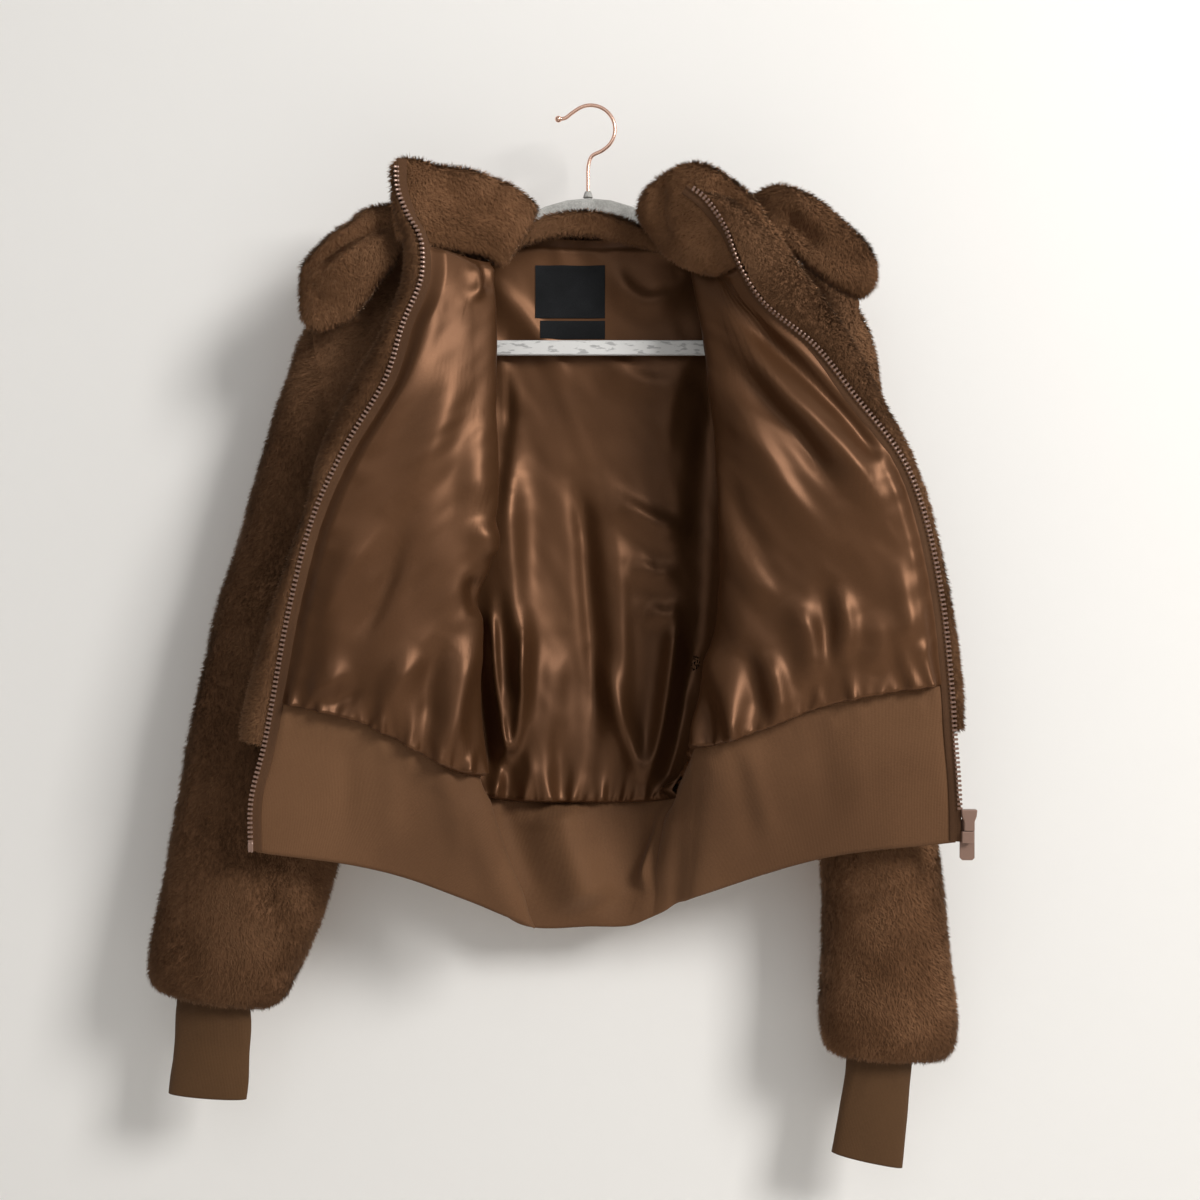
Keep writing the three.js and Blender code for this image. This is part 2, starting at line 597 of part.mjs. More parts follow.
// A sleeve's first ring follows the armhole: from the shoulder's end down the front's edge to
// the underarm and up the back's edge. At the underarm it clears the body's fur.
const DOWN = new THREE.Vector3(0, 0, -1);
function armholeRings(body, side) {
  const rows = LINING_LEVELS.map((level, row) => ({ level, row }))
    .filter(({ level }) => level <= UNDERARM_LEVEL);
  const backEnd = side.out < 0 ? 0 : BACK_STEPS.length - 1;
  const edgeOf = (grid, normals, column, inward) => rows.map(({ level, row }) => {
    const away = grid[row][column].clone().sub(grid[row][inward]).normalize();
    const drop = THREE.MathUtils.smoothstep(level, 0.3, UNDERARM_LEVEL);
    const gap = SEAM_GAP + SHOULDER_EASE * (1 - THREE.MathUtils.smoothstep(level, 0, 0.15));
    const start = grid[row][column].clone().addScaledVector(away, gap);
    const clear = THREE.MathUtils.lerp(FUR_INNER, FUR_INNER + FUR_WALL + SEAM_GAP * 2, drop);
    const near = start.clone().addScaledVector(normals[row][column], clear);
    const through = normals[row][column].clone().lerp(DOWN, drop).normalize();
    return { near, far: near.clone().addScaledVector(through, FUR_WALL) };
  });
  const { grid, normals } = body[side.name];
  const end = grid[0].length - 1;
  const front = edgeOf(grid, normals, end, end - 1);
  const back = edgeOf(body.back, body.backNormals, backEnd, backEnd - side.out);
  const ring = [...front, ...back.slice(1, -1).reverse()];
  return { near: ring.map((point) => point.near), far: ring.map((point) => point.far) };
}

function addSleevesAndCuffs() {
  const body = bodyAt(LINING_LEVELS);
  for (const side of SIDES) {
    const sleeve = SLEEVES[side.name].slice(1);
    const armhole = armholeRings(body, side);
    addPiece(`sleeve_${side.name}`, wallSolid(
      [armhole.near, ...ovalRings(sleeve, 0)],
      [armhole.far, ...ovalRings(sleeve, FUR_WALL)], true), 'fur');
    const cuff = CUFFS[side.name];
    addPiece(`cuff_${side.name}`,
      wallSolid(ovalRings(cuff, -CUFF_WALL), ovalRings(cuff, 0), true), 'knit');
  }
}

// A padded roll through the rows of a table, with rounded edges.
const ROLL_POINTS = 12;
const ROLL_SQUARENESS = 0.65;
function rollSolid(rows) {
  const low = rows.map((row) => new THREE.Vector3(row.lowX, row.lowY, row.lowZ));
  const high = rows.map((row) => new THREE.Vector3(row.highX, row.highY, row.highZ));
  const middles = low.map((point, k) => point.clone().lerp(high[k], 0.5));
  const last = rows.length - 1;
  const soften = (value) => Math.sign(value) * Math.abs(value) ** ROLL_SQUARENESS;
  return ringSolid(rows.map((row, k) => {
    const along = middles[Math.min(k + 1, last)].clone().sub(middles[Math.max(k - 1, 0)]);
    along.normalize();
    const up = high[k].clone().sub(low[k]).multiplyScalar(0.5);
    const across = up.clone().cross(along).setLength(row.thick / 2);
    return Array.from({ length: ROLL_POINTS }, (_, n) => {
      const angle = 2 * Math.PI * n / ROLL_POINTS;
      return middles[k].clone().addScaledVector(up, soften(Math.cos(angle)))
        .addScaledVector(across, soften(Math.sin(angle)));
    });
  }));
}

function addCollar() {
  addPiece('collar_left', rollSolid(COLLAR_LEFT), 'fur');
  addPiece('collar_back', rollSolid(COLLAR_BACK), 'fur');
  addPiece('collar_right', rollSolid(COLLAR_RIGHT), 'fur');
  addPiece('collar_fall', rollSolid(COLLAR_FALL), 'fur');
}

// The zip's halves: a tape and a strip that is its teeth's reach, both on the zip's line.
const COLLAR_ACROSS = {
  left: new THREE.Vector3(0.94, 0.33, 0),
  right: new THREE.Vector3(-0.62, 0.35, -0.7),
};
function zipFrame(side, level) {
  const origin = lineAt(ZIP_LINE, side, level);
  const down = zipDown(side, level);
  const row = frontRow(side, Math.max(level, 0));
  const inward = row[1].clone().sub(row[0]).normalize()
    .lerp(COLLAR_ACROSS[side.name], THREE.MathUtils.smoothstep(-level, 0, 0.8)).normalize();
  const across = inward.clone().addScaledVector(down, -inward.dot(down)).normalize();
  const outward = across.clone().cross(down).multiplyScalar(-side.out).normalize();
  return { origin, across, inward: inward.divideScalar(inward.dot(across)), outward };
}

// A strip along the zip's line. The chain is square to the line, and the tape's inner edge
// keeps to the levels, as the lining's edge beside it does.
function zipStrip(side, levels, direction, from, to, near, far) {
  const skin = (depth) => levels.map((level) => {
    const frame = zipFrame(side, level);
    return [from, to].map((reach) => frame.origin.clone()
      .addScaledVector(frame[direction], reach).addScaledVector(frame.outward, depth));
  });
  return wallSolid(skin(near), skin(far));
}

const COLLAR_LEVELS = [-0.97, -0.75, -0.5, -0.25];
const ZIP_LEVELS = [...COLLAR_LEVELS, ...LINING_LEVELS, ...BAND_LEVELS.slice(1)];
const SLIDER_LEVEL = 1.75;
const TAPE_FROM = 1;   // the tape starts this far inside the zip's line
const TAPE_LIFT = 0.1;
function addZip() {
  for (const side of SIDES) {
    const aboveSlider = [...ZIP_LEVELS.filter((level) => level < SLIDER_LEVEL), SLIDER_LEVEL];
    const chainLevels = side.name === 'right' ? aboveSlider : ZIP_LEVELS;
    const half = CHAIN_WIDTH / 2;
    const tapeEdge = TAPE_WIDTH - SEAM_GAP;
    addPiece(`zip_tape_${side.name}`,
      zipStrip(side, ZIP_LEVELS, 'inward', TAPE_FROM, tapeEdge, TAPE_LIFT, TAPE_WALL), 'tape');
    addPiece(`zip_chain_${side.name}`,
      zipStrip(side, chainLevels, 'across', -half, half, -CHAIN_LIFT - CHAIN_WALL, -CHAIN_LIFT),
      'zipTeeth');
  }
}

const plate = (outline, depth) =>
  new THREE.ExtrudeGeometry(outline, { depth, bevelEnabled: false });

// The slider: wings, a waist and a foot, with the bridge that the pull swings on.
function addSlider() {
  const { x, y, topZ, footZ, wide, waist, thick, wingTall, waistFrom } = SLIDER;
  const outline = new THREE.Shape();
  const half = wide / 2;
  outline.moveTo(-half, topZ);
  outline.lineTo(half, topZ);
  outline.lineTo(half - 0.5, topZ - wingTall);
  outline.lineTo(waist / 2, topZ - waistFrom);
  outline.lineTo(waist / 2, footZ);
  outline.lineTo(-waist / 2, footZ);
  outline.lineTo(-waist / 2, topZ - waistFrom);
  outline.lineTo(-half + 0.5, topZ - wingTall);
  outline.closePath();
  const body = addPiece('zip_slider', plate(outline, thick), 'zipTeeth');
  body.rotation.x = Math.PI / 2;
  body.position.set(x, y + thick / 2, 0);

  const box = addPiece('zip_box',
    new THREE.BoxGeometry(ZIP_BOX.wide, ZIP_BOX.deep, ZIP_BOX.tall), 'zipTeeth');
  box.position.set(x - ZIP_BOX.inset, y, footZ - SEAM_GAP - ZIP_BOX.tall / 2);

  const face = y + thick / 2;
  const arch = new THREE.Shape();
  const { rise, chamfer } = BRIDGE;
  const top = BRIDGE.tall / 2;
  arch.moveTo(SEAM_GAP, -top);
  arch.lineTo(rise - chamfer, -top);
  arch.lineTo(rise, -top + chamfer);
  arch.lineTo(rise, top - chamfer);
  arch.lineTo(rise - chamfer, top);
  arch.lineTo(SEAM_GAP, top);
  arch.closePath();
  const eye = new THREE.Path();
  eye.moveTo(BRIDGE.holeNear + SEAM_GAP, -BRIDGE.holeTall / 2);
  eye.lineTo(BRIDGE.holeNear + SEAM_GAP, BRIDGE.holeTall / 2);
  eye.lineTo(BRIDGE.holeFar, BRIDGE.holeTall / 2);
  eye.lineTo(BRIDGE.holeFar, -BRIDGE.holeTall / 2);
  eye.closePath();
  arch.holes.push(eye);
  const bridge = addPiece('zip_bridge', plate(arch, BRIDGE.wide), 'zipTeeth');
  bridge.setRotationFromMatrix(new THREE.Matrix4().makeBasis(
    new THREE.Vector3(0, 1, 0), new THREE.Vector3(0, 0, 1), new THREE.Vector3(1, 0, 0)));
  bridge.position.set(x - BRIDGE.wide / 2, face, HINGE_Z);
}

// The pull: a flat tab with an eye, hanging on the hinge line behind the slider.
function addPull() {
  const outline = new THREE.Shape();
  const half = PULL.wide / 2;
  const { above, reach, chamfer } = PULL;
  outline.moveTo(-half + chamfer, above);
  outline.lineTo(half - chamfer, above);
  outline.lineTo(half, above - chamfer);
  outline.lineTo(half, -reach + chamfer);
  outline.lineTo(half - chamfer, -reach);
  outline.lineTo(-half + chamfer, -reach);
  outline.lineTo(-half, -reach + chamfer);
  outline.lineTo(-half, above - chamfer);
  outline.closePath();
  const eye = new THREE.Path();
  eye.moveTo(-PULL.holeWide / 2, -PULL.holeFrom);
  eye.lineTo(-PULL.holeWide / 2, -PULL.holeTo);
  eye.lineTo(PULL.holeWide / 2, -PULL.holeTo);
  eye.lineTo(PULL.holeWide / 2, -PULL.holeFrom);
  eye.closePath();
  outline.holes.push(eye);
  const pull = addPiece('zip_pull', plate(outline, PULL.thick), 'zipTeeth');
  pull.rotation.x = Math.PI / 2;
  const hingeY = SLIDER.y + SLIDER.thick / 2 + (BRIDGE.holeNear + SEAM_GAP + BRIDGE.holeFar) / 2;
  pull.position.set(SLIDER.x, hingeY + PULL.thick / 2, HINGE_Z);
}

// Labels on the back lining: the lining's own points, moved out.
function addLabels(lining) {
  lining.updateMatrixWorld(true);
  const ray = new THREE.Raycaster();
  const onLining = (x, z) => {
    ray.set(new THREE.Vector3(x, -60, z), new THREE.Vector3(0, 1, 0));
    return ray.intersectObject(lining)[0].point.y;
  };
  for (const label of LABELS) {
    const skin = (depth) => Array.from({ length: label.rows + 1 }, (_, r) => (
      Array.from({ length: label.columns + 1 }, (__, c) => {
        const x = THREE.MathUtils.lerp(label.x[0], label.x[1], c / label.columns);
        const z = THREE.MathUtils.lerp(label.z[0], label.z[1], r / label.rows);
        return new THREE.Vector3(x, onLining(x, z) - depth, z);
      })));
    addPiece(label.name, wallSolid(skin(label.lift), skin(label.lift + label.thick)), 'label');
  }
}

// The hanger: arms and trouser bar in one flat moulding.
function addHanger() {
  const { middleX, top, crown, curve, slope, reach, thick, chamfer } = HANGER;
  const { armHeight, barTop, barHeight, holeReach, holeTall } = HANGER;
  const topAt = (distance) => (distance < crown
    ? top - curve * distance * distance
    : top - curve * crown * crown - slope * (distance - crown));
  const along = (from, to, count) =>
    Array.from({ length: count + 1 }, (_, k) => from + (to - from) * k / count);
  const outline = new THREE.Shape();
  const foot = barTop - barHeight;
  outline.moveTo(middleX - reach + chamfer, foot);
  outline.lineTo(middleX + reach - chamfer, foot);
  outline.lineTo(middleX + reach, foot + chamfer);
  outline.lineTo(middleX + reach, topAt(reach) - chamfer);
  for (const distance of along(reach - chamfer, -reach + chamfer, 24)) {
    outline.lineTo(middleX + distance, topAt(Math.abs(distance)));
  }
  outline.lineTo(middleX - reach, topAt(reach) - chamfer);
  outline.lineTo(middleX - reach, foot + chamfer);
  outline.closePath();
  const hole = new THREE.Path();
  hole.moveTo(middleX - holeReach, barTop);
  for (const distance of along(-holeReach, holeReach, 16)) {
    const under = topAt(Math.abs(distance)) - armHeight;
    hole.lineTo(middleX + distance, Math.max(under, barTop + holeTall));
  }
  hole.lineTo(middleX + holeReach, barTop);
  hole.closePath();
  outline.holes.push(hole);
  const frame = addPiece('hanger_frame', plate(outline, thick), 'velvet');
  frame.rotation.x = Math.PI / 2;
  frame.position.y = thick / 2;
}

// The hook: one wire that swells to a ball at its tip, bends over the nail and runs down.
function addHook() {
  const { wireRadius, ballRadius, bendX, bendZ, bendRadius, stemX, stemEnd } = HOOK;
  const onBend = (degrees) => {
    const angle = THREE.MathUtils.degToRad(degrees);
    return [bendX + bendRadius * Math.cos(angle), bendZ + bendRadius * Math.sin(angle)];
  };
  const route = [
    [-24, -9.5], [-16, -8.5], [-10.5, -4.5], ...[112, 90, 65, 40, 15, -10, -35, -60].map(onBend),
    [5.5, -39], [stemX + 0.4, -46], [stemX, -58], [stemX, stemEnd]];
  const places = route.map(([x, z]) => new THREE.Vector3(x, 0, z));
  const path = new THREE.CatmullRomCurve3(places, false, 'centripetal');
  const steps = 40;
  const ballShare = 2 * ballRadius / path.getLength();
  const frames = path.computeFrenetFrames(steps, false);
  const sides = 8;
  const shares = [0.02, 0.2, 0.5, 0.8, 0.95].map((share) => share * ballShare);
  for (let k = 3; k <= steps; k += 1) shares.push(k / steps);
  const radiusAt = (share) => {
    if (share >= ballShare) return wireRadius;
    const along = 2 * share / ballShare - 1;
    return Math.max(ballRadius * Math.sqrt(1 - along * along), along > 0 ? wireRadius : 0.3);
  };
  const rings = shares.map((share) => {
    const centre = path.getPointAt(share);
    const index = Math.min(Math.round(share * steps), steps);
    return Array.from({ length: sides }, (_, n) => {
      const angle = 2 * Math.PI * n / sides;
      return centre.clone()
        .addScaledVector(frames.normals[index], radiusAt(share) * Math.cos(angle))
        .addScaledVector(frames.binormals[index], radiusAt(share) * Math.sin(angle));
    });
  });
  addPiece('hook', ringSolid(rings), 'roseGold');

  const { topRadius, footRadius, tall } = HOOK_SOCKET;
  const socket = addPiece('hook_socket',
    new THREE.CylinderGeometry(topRadius, footRadius, tall, 12), 'velvet');
  socket.rotation.x = Math.PI / 2;
  socket.position.set(stemX, 0, stemEnd - SEAM_GAP - tall / 2);
}

addFurPanels();
const backLining = addLinings();
addWaistband();
addSleevesAndCuffs();
addCollar();
addZip();
addSlider();
addPull();
addLabels(backLining);
addHanger();
addHook();

export default jacket;
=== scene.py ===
# %% [markdown]
# # A cropped faux fur jacket, open on a hanger
#
# The jacket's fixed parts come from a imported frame, in metres, with +Z up, the open front on the
# -Y side and the hook's inner top at the origin. This lesson dresses that frame: it lays dense
# cloth on the same lines that the frame's solids follow, folds it, grows pile on the fur, and
# sets teeth on the zip. "Left" and "right" are the viewer's. Lengths are in millimetres until a
# mesh is made of them.

# %% Load the frame
import math

import bpy
import bmesh
import numpy as np
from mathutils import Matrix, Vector
from mathutils.bvhtree import BVHTree


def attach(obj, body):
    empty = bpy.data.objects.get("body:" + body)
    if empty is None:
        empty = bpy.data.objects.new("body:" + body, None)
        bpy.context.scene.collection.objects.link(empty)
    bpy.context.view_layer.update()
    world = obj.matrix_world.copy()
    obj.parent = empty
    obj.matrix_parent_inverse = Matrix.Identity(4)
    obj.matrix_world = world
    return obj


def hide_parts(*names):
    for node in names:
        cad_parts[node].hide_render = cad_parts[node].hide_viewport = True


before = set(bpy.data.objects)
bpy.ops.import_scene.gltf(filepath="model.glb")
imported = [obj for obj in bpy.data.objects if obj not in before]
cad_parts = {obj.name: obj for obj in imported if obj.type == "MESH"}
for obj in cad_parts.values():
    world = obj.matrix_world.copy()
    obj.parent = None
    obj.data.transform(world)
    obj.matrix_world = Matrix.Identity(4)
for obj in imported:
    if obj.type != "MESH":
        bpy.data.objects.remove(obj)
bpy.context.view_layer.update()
MM = 0.001
print("nodes:", len(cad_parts))

# %% Helpers for objects and shader nodes


def in_scene(name, data):
    """A new object, linked to the scene."""
    thing = bpy.data.objects.new(name, data)
    bpy.context.scene.collection.objects.link(thing)
    return thing


def on_body(piece, body="jacket"):
    """A piece rides on its body."""
    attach(piece, body)
    print(f"{piece.name}: {len(piece.data.polygons)} faces")
    return piece


def plug(socket, source):
    """An input takes a constant, or another node's output."""
    if isinstance(source, bpy.types.NodeSocket):
        socket.id_data.links.new(source, socket)
    else:
        socket.default_value = source


def feed(node, **sources):
    """A node's inputs by name. An underscore stands for a space."""
    for name, source in sources.items():
        plug(node.inputs[name.replace("_", " ")], source)


def add_node(tree, kind, settings=None, **sources):
    node = tree.nodes.new(kind)
    for key, value in (settings or {}).items():
        setattr(node, key, value)
    feed(node, **sources)
    return node


def math_node(tree, operation, *operands):
    """The result of one Math node. Each operand is a number or an output."""
    node = add_node(tree, "ShaderNodeMath", {"operation": operation})
    for socket, operand in zip(node.inputs, operands):
        plug(socket, operand)
    return node.outputs[0]


def new_finish(name, **look):
    """A material, its node tree and its Principled shader, with the shader's inputs set."""
    material = bpy.data.materials.new(name)
    material.use_nodes = True
    tree = material.node_tree
    bsdf = tree.nodes["Principled BSDF"]
    feed(bsdf, **look)
    return material, tree, bsdf


print("helpers for objects and nodes are ready")

# %% [markdown]
# ## The camera and the light
#
# The jacket hangs at the height of the viewer's chest, so the camera is level with its middle and
# close to it. Satin shows its folds only under a light that comes from one side, so one strong
# soft box stands at the right, a weak one fills from the front, and a third lights the back. A
# pale wall stands close behind for the soft shadow, and a pale floor below. The wall throws no
# shadow and is clear from behind, so the back can be looked at too.

# %% Camera
MIDDLE = Vector((12 * MM, 0, -394 * MM))
CAMERA_BACK = 1.3
LENS = 48.75
camera_data = bpy.data.cameras.new("camera")
camera_data.sensor_width = 36
camera_data.lens = LENS
camera = in_scene("camera", camera_data)
camera.location = MIDDLE + Vector((0, -CAMERA_BACK, 0))
camera.rotation_euler = (math.pi / 2, 0, 0)
bpy.context.scene.camera = camera
print("camera:", tuple(round(v, 3) for v in camera.location))

# %% Lights
WORLD_STRENGTH = 0.3


def soft_box(name, place, size, watts, colour=(1, 1, 1)):
    """A square area light that looks at the jacket's middle."""
    data = bpy.data.lights.new(name, "AREA")
    data.size = size
    data.energy = watts
    data.color = colour
    lamp = in_scene(name, data)
    lamp.location = MIDDLE + Vector(place)
    lamp.rotation_euler = (MIDDLE - lamp.location).to_track_quat("-Z", "Y").to_euler()


soft_box("key_light", (1.72, -2.0, 1.2), 0.85, 62, (1, 0.985, 0.965))
soft_box("fill_light", (-0.3, -1.9, 0.9), 1.2, 4, (0.97, 0.985, 1))
soft_box("back_light", (-0.5, 1.5, 0.6), 1.0, 16)

world = bpy.data.worlds.new("studio")
bpy.context.scene.world = world
world.use_nodes = True
feed(world.node_tree.nodes["Background"], Color=(1, 0.995, 0.985, 1), Strength=WORLD_STRENGTH)
bpy.context.scene.view_settings.view_transform = "Standard"
print("lights:", len(bpy.data.lights))

# %% Wall and floor
WALL_Y = 62 * MM
FLOOR_Z = -1.25
STAGE_REACH = 4
WALL_TOP = 3


def plain_sheet(name, corners, colour, clear_behind=False):
    """A stage surface through four corners, with a plain matt finish."""
    mesh = bpy.data.meshes.new(name)
    mesh.from_pydata(corners, [], [(0, 1, 2, 3)])
    piece = in_scene(name, mesh)
    material, tree, bsdf = new_finish(name, Base_Color=(*colour, 1), Roughness=0.9, Specular_IOR_Level=0.1)
    if clear_behind:
        mix = add_node(tree, "ShaderNodeMixShader")
        plug(mix.inputs[0], add_node(tree, "ShaderNodeNewGeometry").outputs["Backfacing"])
        plug(mix.inputs[1], bsdf.outputs[0])
        plug(mix.inputs[2], add_node(tree, "ShaderNodeBsdfTransparent").outputs[0])
        feed(tree.nodes["Material Output"], Surface=mix.outputs[0])
    mesh.materials.append(material)
    return piece


wall = plain_sheet("wall", [(-STAGE_REACH, WALL_Y, FLOOR_Z), (STAGE_REACH, WALL_Y, FLOOR_Z),
                            (STAGE_REACH, WALL_Y, WALL_TOP), (-STAGE_REACH, WALL_Y, WALL_TOP)],
                   (0.9, 0.885, 0.86), clear_behind=True)
wall.visible_shadow = False
wall.visible_diffuse = False
square = ((-1, -1), (1, -1), (1, 1), (-1, 1))
plain_sheet("floor", [(x * STAGE_REACH, y * STAGE_REACH, FLOOR_Z) for x, y in square], (0.78, 0.75, 0.71))
print("wall at y =", WALL_Y, " floor at z =", FLOOR_Z)

# %% [markdown]
# ## The lines that the cloth follows
#
# A pattern cutter thinks of a garment as lines on a body: the zip, the fold of each front, the
# side seam, the middle of the back. The frame's solids were built on such lines, so the same
# lines are written here, in millimetres. A level says how far down a line a point is: 0 at the
# neckline and the shoulder seam, 1 at the waist seam and 2 at the hem. Smooth curves through the
# lines give cloth as dense as the folds need, and it still lies where the solids are.

# %% Tables of the body's lines


def table(columns, rows):
    """Named columns of numbers, one row for each level."""
    return {name: np.array([row[k] for row in rows], float) for k, name in enumerate(columns.split())}


ZIP_LINE = table("level leftX leftY leftZ leftPast rightX rightY rightZ rightPast", [
    (-1.00, -142, -72, -58, 5, 76, -84, -82, 20),
    (-0.66, -141, -73, -83, 6, 92, -85, -95, 24),
    (-0.33, -134, -74, -103, 9, 107, -86, -117, 34),
    (0.00, -123, -76, -126, 14, 119, -87, -147, 44),
    (0.08, -123, -78, -153, 15, 135, -88, -172, 46),
    (0.18, -136, -82, -188, 15, 171, -89, -203, 32),
    (0.30, -148, -86, -229, 24, 200, -90, -240, 22),
    (0.45, -178, -89, -281, 19, 236, -90, -287, 10),
    (0.60, -201, -90, -332, 9, 254, -90, -333, 7),
    (0.80, -219, -90, -401, 15, 267, -88, -395, 8),
    (1.00, -232, -87, -470, 22, 274, -86, -457, 10),
    (1.30, -239, -84, -504, 20, 277, -84, -493, 8),
    (1.65, -249, -82, -544, 0, 281, -81, -535, 0),
    (2.00, -250, -79, -583, 0, 283, -78, -576, 0)])
FRONT_FOLD = table("level leftX leftY leftZ leftTurn rightX rightY rightZ rightTurn radius", [
    (0.00, -74, -34, -131, 0.7, 88, -32, -131, 0.7, 13),
    (0.08, -73, -44, -163, 0.9, 92, -44, -165, 0.9, 14),
    (0.18, -72, -52, -203, 1.0, 98, -52, -203, 1.0, 14),
    (0.30, -72, -57, -250, 1.0, 103, -57, -250, 1.0, 14),
    (0.45, -71, -61, -310, 1.0, 106, -60, -310, 1.0, 14),
    (0.60, -78, -63, -370, 1.0, 111, -60, -365, 0.9, 14),
    (0.80, -85, -63, -449, 1.0, 101, -58, -440, 0.3, 15),
    (1.00, -80, -61, -529, 1.0, 86, -55, -508, -0.2, 15),
    (1.30, -70, -57, -565, 1.0, 85, -46, -545, -0.6, 13),
    (1.65, -57, -50, -606, 1.0, 83, -31, -592, -0.8, 10),
    (2.00, -39, -43, -648, 1.0, 80, -19, -631, -0.9, 8)])
NECK_POINT_LINE = table("level leftX leftY leftZ rightX rightY rightZ", [
    (0.00, -98, 3, -106, 101, 3, -106),
    (0.05, -98, -15, -128, 104, -15, -128),
    (0.18, -108, -28, -195, 122, -28, -190),
    (0.30, -116, -31, -243, 134, -30, -238),
    (0.45, -122, -31, -305, 138, -28, -303),
    (0.60, -122, -30, -372, 132, -25, -370),
    (0.80, -116, -29, -458, 106, -22, -456),
    (1.00, -104, -29, -538, 78, -21, -534),
    (1.30, -94, -27, -566, 70, -19, -564),
    (2.00, -72, -23, -630, 64, -8, -641)])
SIDE_LINE = table("level leftX leftY leftZ rightX rightY rightZ open", [
    (0.00, -216, 3, -166, 216, 3, -162, 0),
    (0.08, -212, 3, -196, 212, 3, -192, 14),
    (0.18, -206, 2, -232, 206, 2, -230, 21),
    (0.30, -198, 2, -274, 198, 2, -274, 24),
    (0.45, -184, 1, -338, 184, 1, -338, 17),
    (0.55, -172, 1, -382, 172, 1, -382, 0),
    (0.80, -143, 0, -470, 132, 0, -470, 0),
    (1.00, -120, -2, -543, 76, -2, -552, 0),
    (1.30, -113, -3, -566, 65, -2, -582, 0),
    (2.00, -95, -4, -614, 54, -2, -647, 0)])
BACK_LINE = table("level middleY middleZ leftX leftZ rightX rightZ quarterY", [
    (0.00, 12, -104, -98, -106, 101, -106, 3),
    (0.05, 14, -127, -97, -129, 100, -129, 14),
    (0.18, 17, -186, -95, -188, 98, -188, 18),
    (0.45, 21, -308, -91, -309, 94, -309, 21),
    (0.80, 20, -467, -80, -467, 80, -467, 19),
    (1.00, 13, -558, -66, -556, 52, -557, 12),
    (1.30, 10, -588, -60, -584, 46, -588, 9),
    (2.00, 5, -656, -52, -654, 36, -655, 3)])
BACK_MIDDLE_X = 6
SIDES = {"left": -1, "right": 1}
UNDERARM = 0.55   # the level where the armhole ends
for line in (ZIP_LINE, FRONT_FOLD, NECK_POINT_LINE, SIDE_LINE, BACK_LINE):
    print(len(line["level"]), "rows of", ", ".join(line))

# %% Smooth curves through the tables


def unit(vectors):
    return vectors / np.maximum(np.linalg.norm(vectors, axis=-1, keepdims=True), 1e-9)


def smoothstep(value, low, high):
    t = np.clip((np.asarray(value, float) - low) / (high - low), 0, 1)
    return t * t * (3 - 2 * t)


def value_at(rows, column, level):
    """A cubic through a column's rows, with the slopes of the chords."""
    levels, values = rows["level"], rows[column]
    last = len(levels) - 1
    after, before = (np.clip(np.arange(last + 1) + step, 0, last) for step in (1, -1))
    slopes = (values[after] - values[before]) / (levels[after] - levels[before])
    level = np.asarray(level, float)
    k = np.clip(np.searchsorted(levels, level, side="left") - 1, 0, last - 1)
    span = levels[k + 1] - levels[k]
    t = np.clip((level - levels[k]) / span, 0, 1)
    return ((2 * t**3 - 3 * t**2 + 1) * values[k] + (t**3 - 2 * t**2 + t) * span * slopes[k]
            + (3 * t**2 - 2 * t**3) * values[k + 1] + (t**3 - t**2) * span * slopes[k + 1])


def columns_at(rows, names, level):
    """Several columns at once, as the coordinates of points."""
    return np.stack([value_at(rows, name, level) for name in names.split()], axis=-1)


def line_at(rows, side, level):
    return columns_at(rows, f"{side}X {side}Y {side}Z", level)


def through(knots, at):
    """Centripetal curves: knots is (rows, knots, 3), and at says where along the knots."""
    first = 2 * knots[:, :1] - knots[:, 1:2]
    last = 2 * knots[:, -1:] - knots[:, -2:-1]
    padded = np.concatenate([first, knots, last], axis=1)
    at = np.asarray(at, float)
    k = np.clip(np.floor(at).astype(int), 0, knots.shape[1] - 2)
    t = (at - k)[None, :, None]
    p0, p1, p2, p3 = (padded[:, k + n] for n in range(4))
    d0, d1, d2 = (np.sqrt(np.linalg.norm(b - a, axis=-1, keepdims=True)) + 1e-6
                  for a, b in ((p0, p1), (p1, p2), (p2, p3)))
    m1 = ((p1 - p0) / d0 - (p2 - p0) / (d0 + d1) + (p2 - p1) / d1) * d1
    m2 = ((p2 - p1) / d1 - (p3 - p1) / (d1 + d2) + (p3 - p2) / d2) * d1
    return (p1 + m1 * t + (-3 * p1 + 3 * p2 - 2 * m1 - m2) * t**2
            + (2 * p1 - 2 * p2 + m1 + m2) * t**3)


def travelled_along(line):
    """How far each point is along a line from its start."""
    return np.concatenate([[0], np.cumsum(np.linalg.norm(np.diff(line, axis=0), axis=-1))])


left_zip = travelled_along(line_at(ZIP_LINE, "left", np.linspace(-1, 2, 200)))
print("the left zip is", round(left_zip[-1]), "mm long")

# %% The body's surface
SHOULDER_RISE = 7   # the shoulder seam bows up between its ends
WING_SHARE = 0.72   # how far the turned front has fallen, halfway from its fold to the zip
WING_BULGE = 5
NECK_SHARE = 0.35
SHOULDER_BAND = 0.05   # the levels over which the surface settles onto the shoulder seam
OUT_SIGN = {"left": -1, "right": 1, "back": -1}


def shoulder_at(side, share):
    neck = line_at(NECK_POINT_LINE, side, 0.0)
    tip = line_at(SIDE_LINE, side, 0.0)
    share = np.asarray(share, float)[:, None]
    point = neck + (tip - neck) * share
    point[:, 2] += (SHOULDER_RISE * 4 * share * (1 - share))[:, 0]
    return point


def side_seam(side, levels, way):
    """The side seam. Above the underarm it opens into the front and the back armhole edges."""
    end = line_at(SIDE_LINE, side, levels)
    end[:, 1] += way * np.maximum(value_at(SIDE_LINE, "open", levels), 0)
    return end


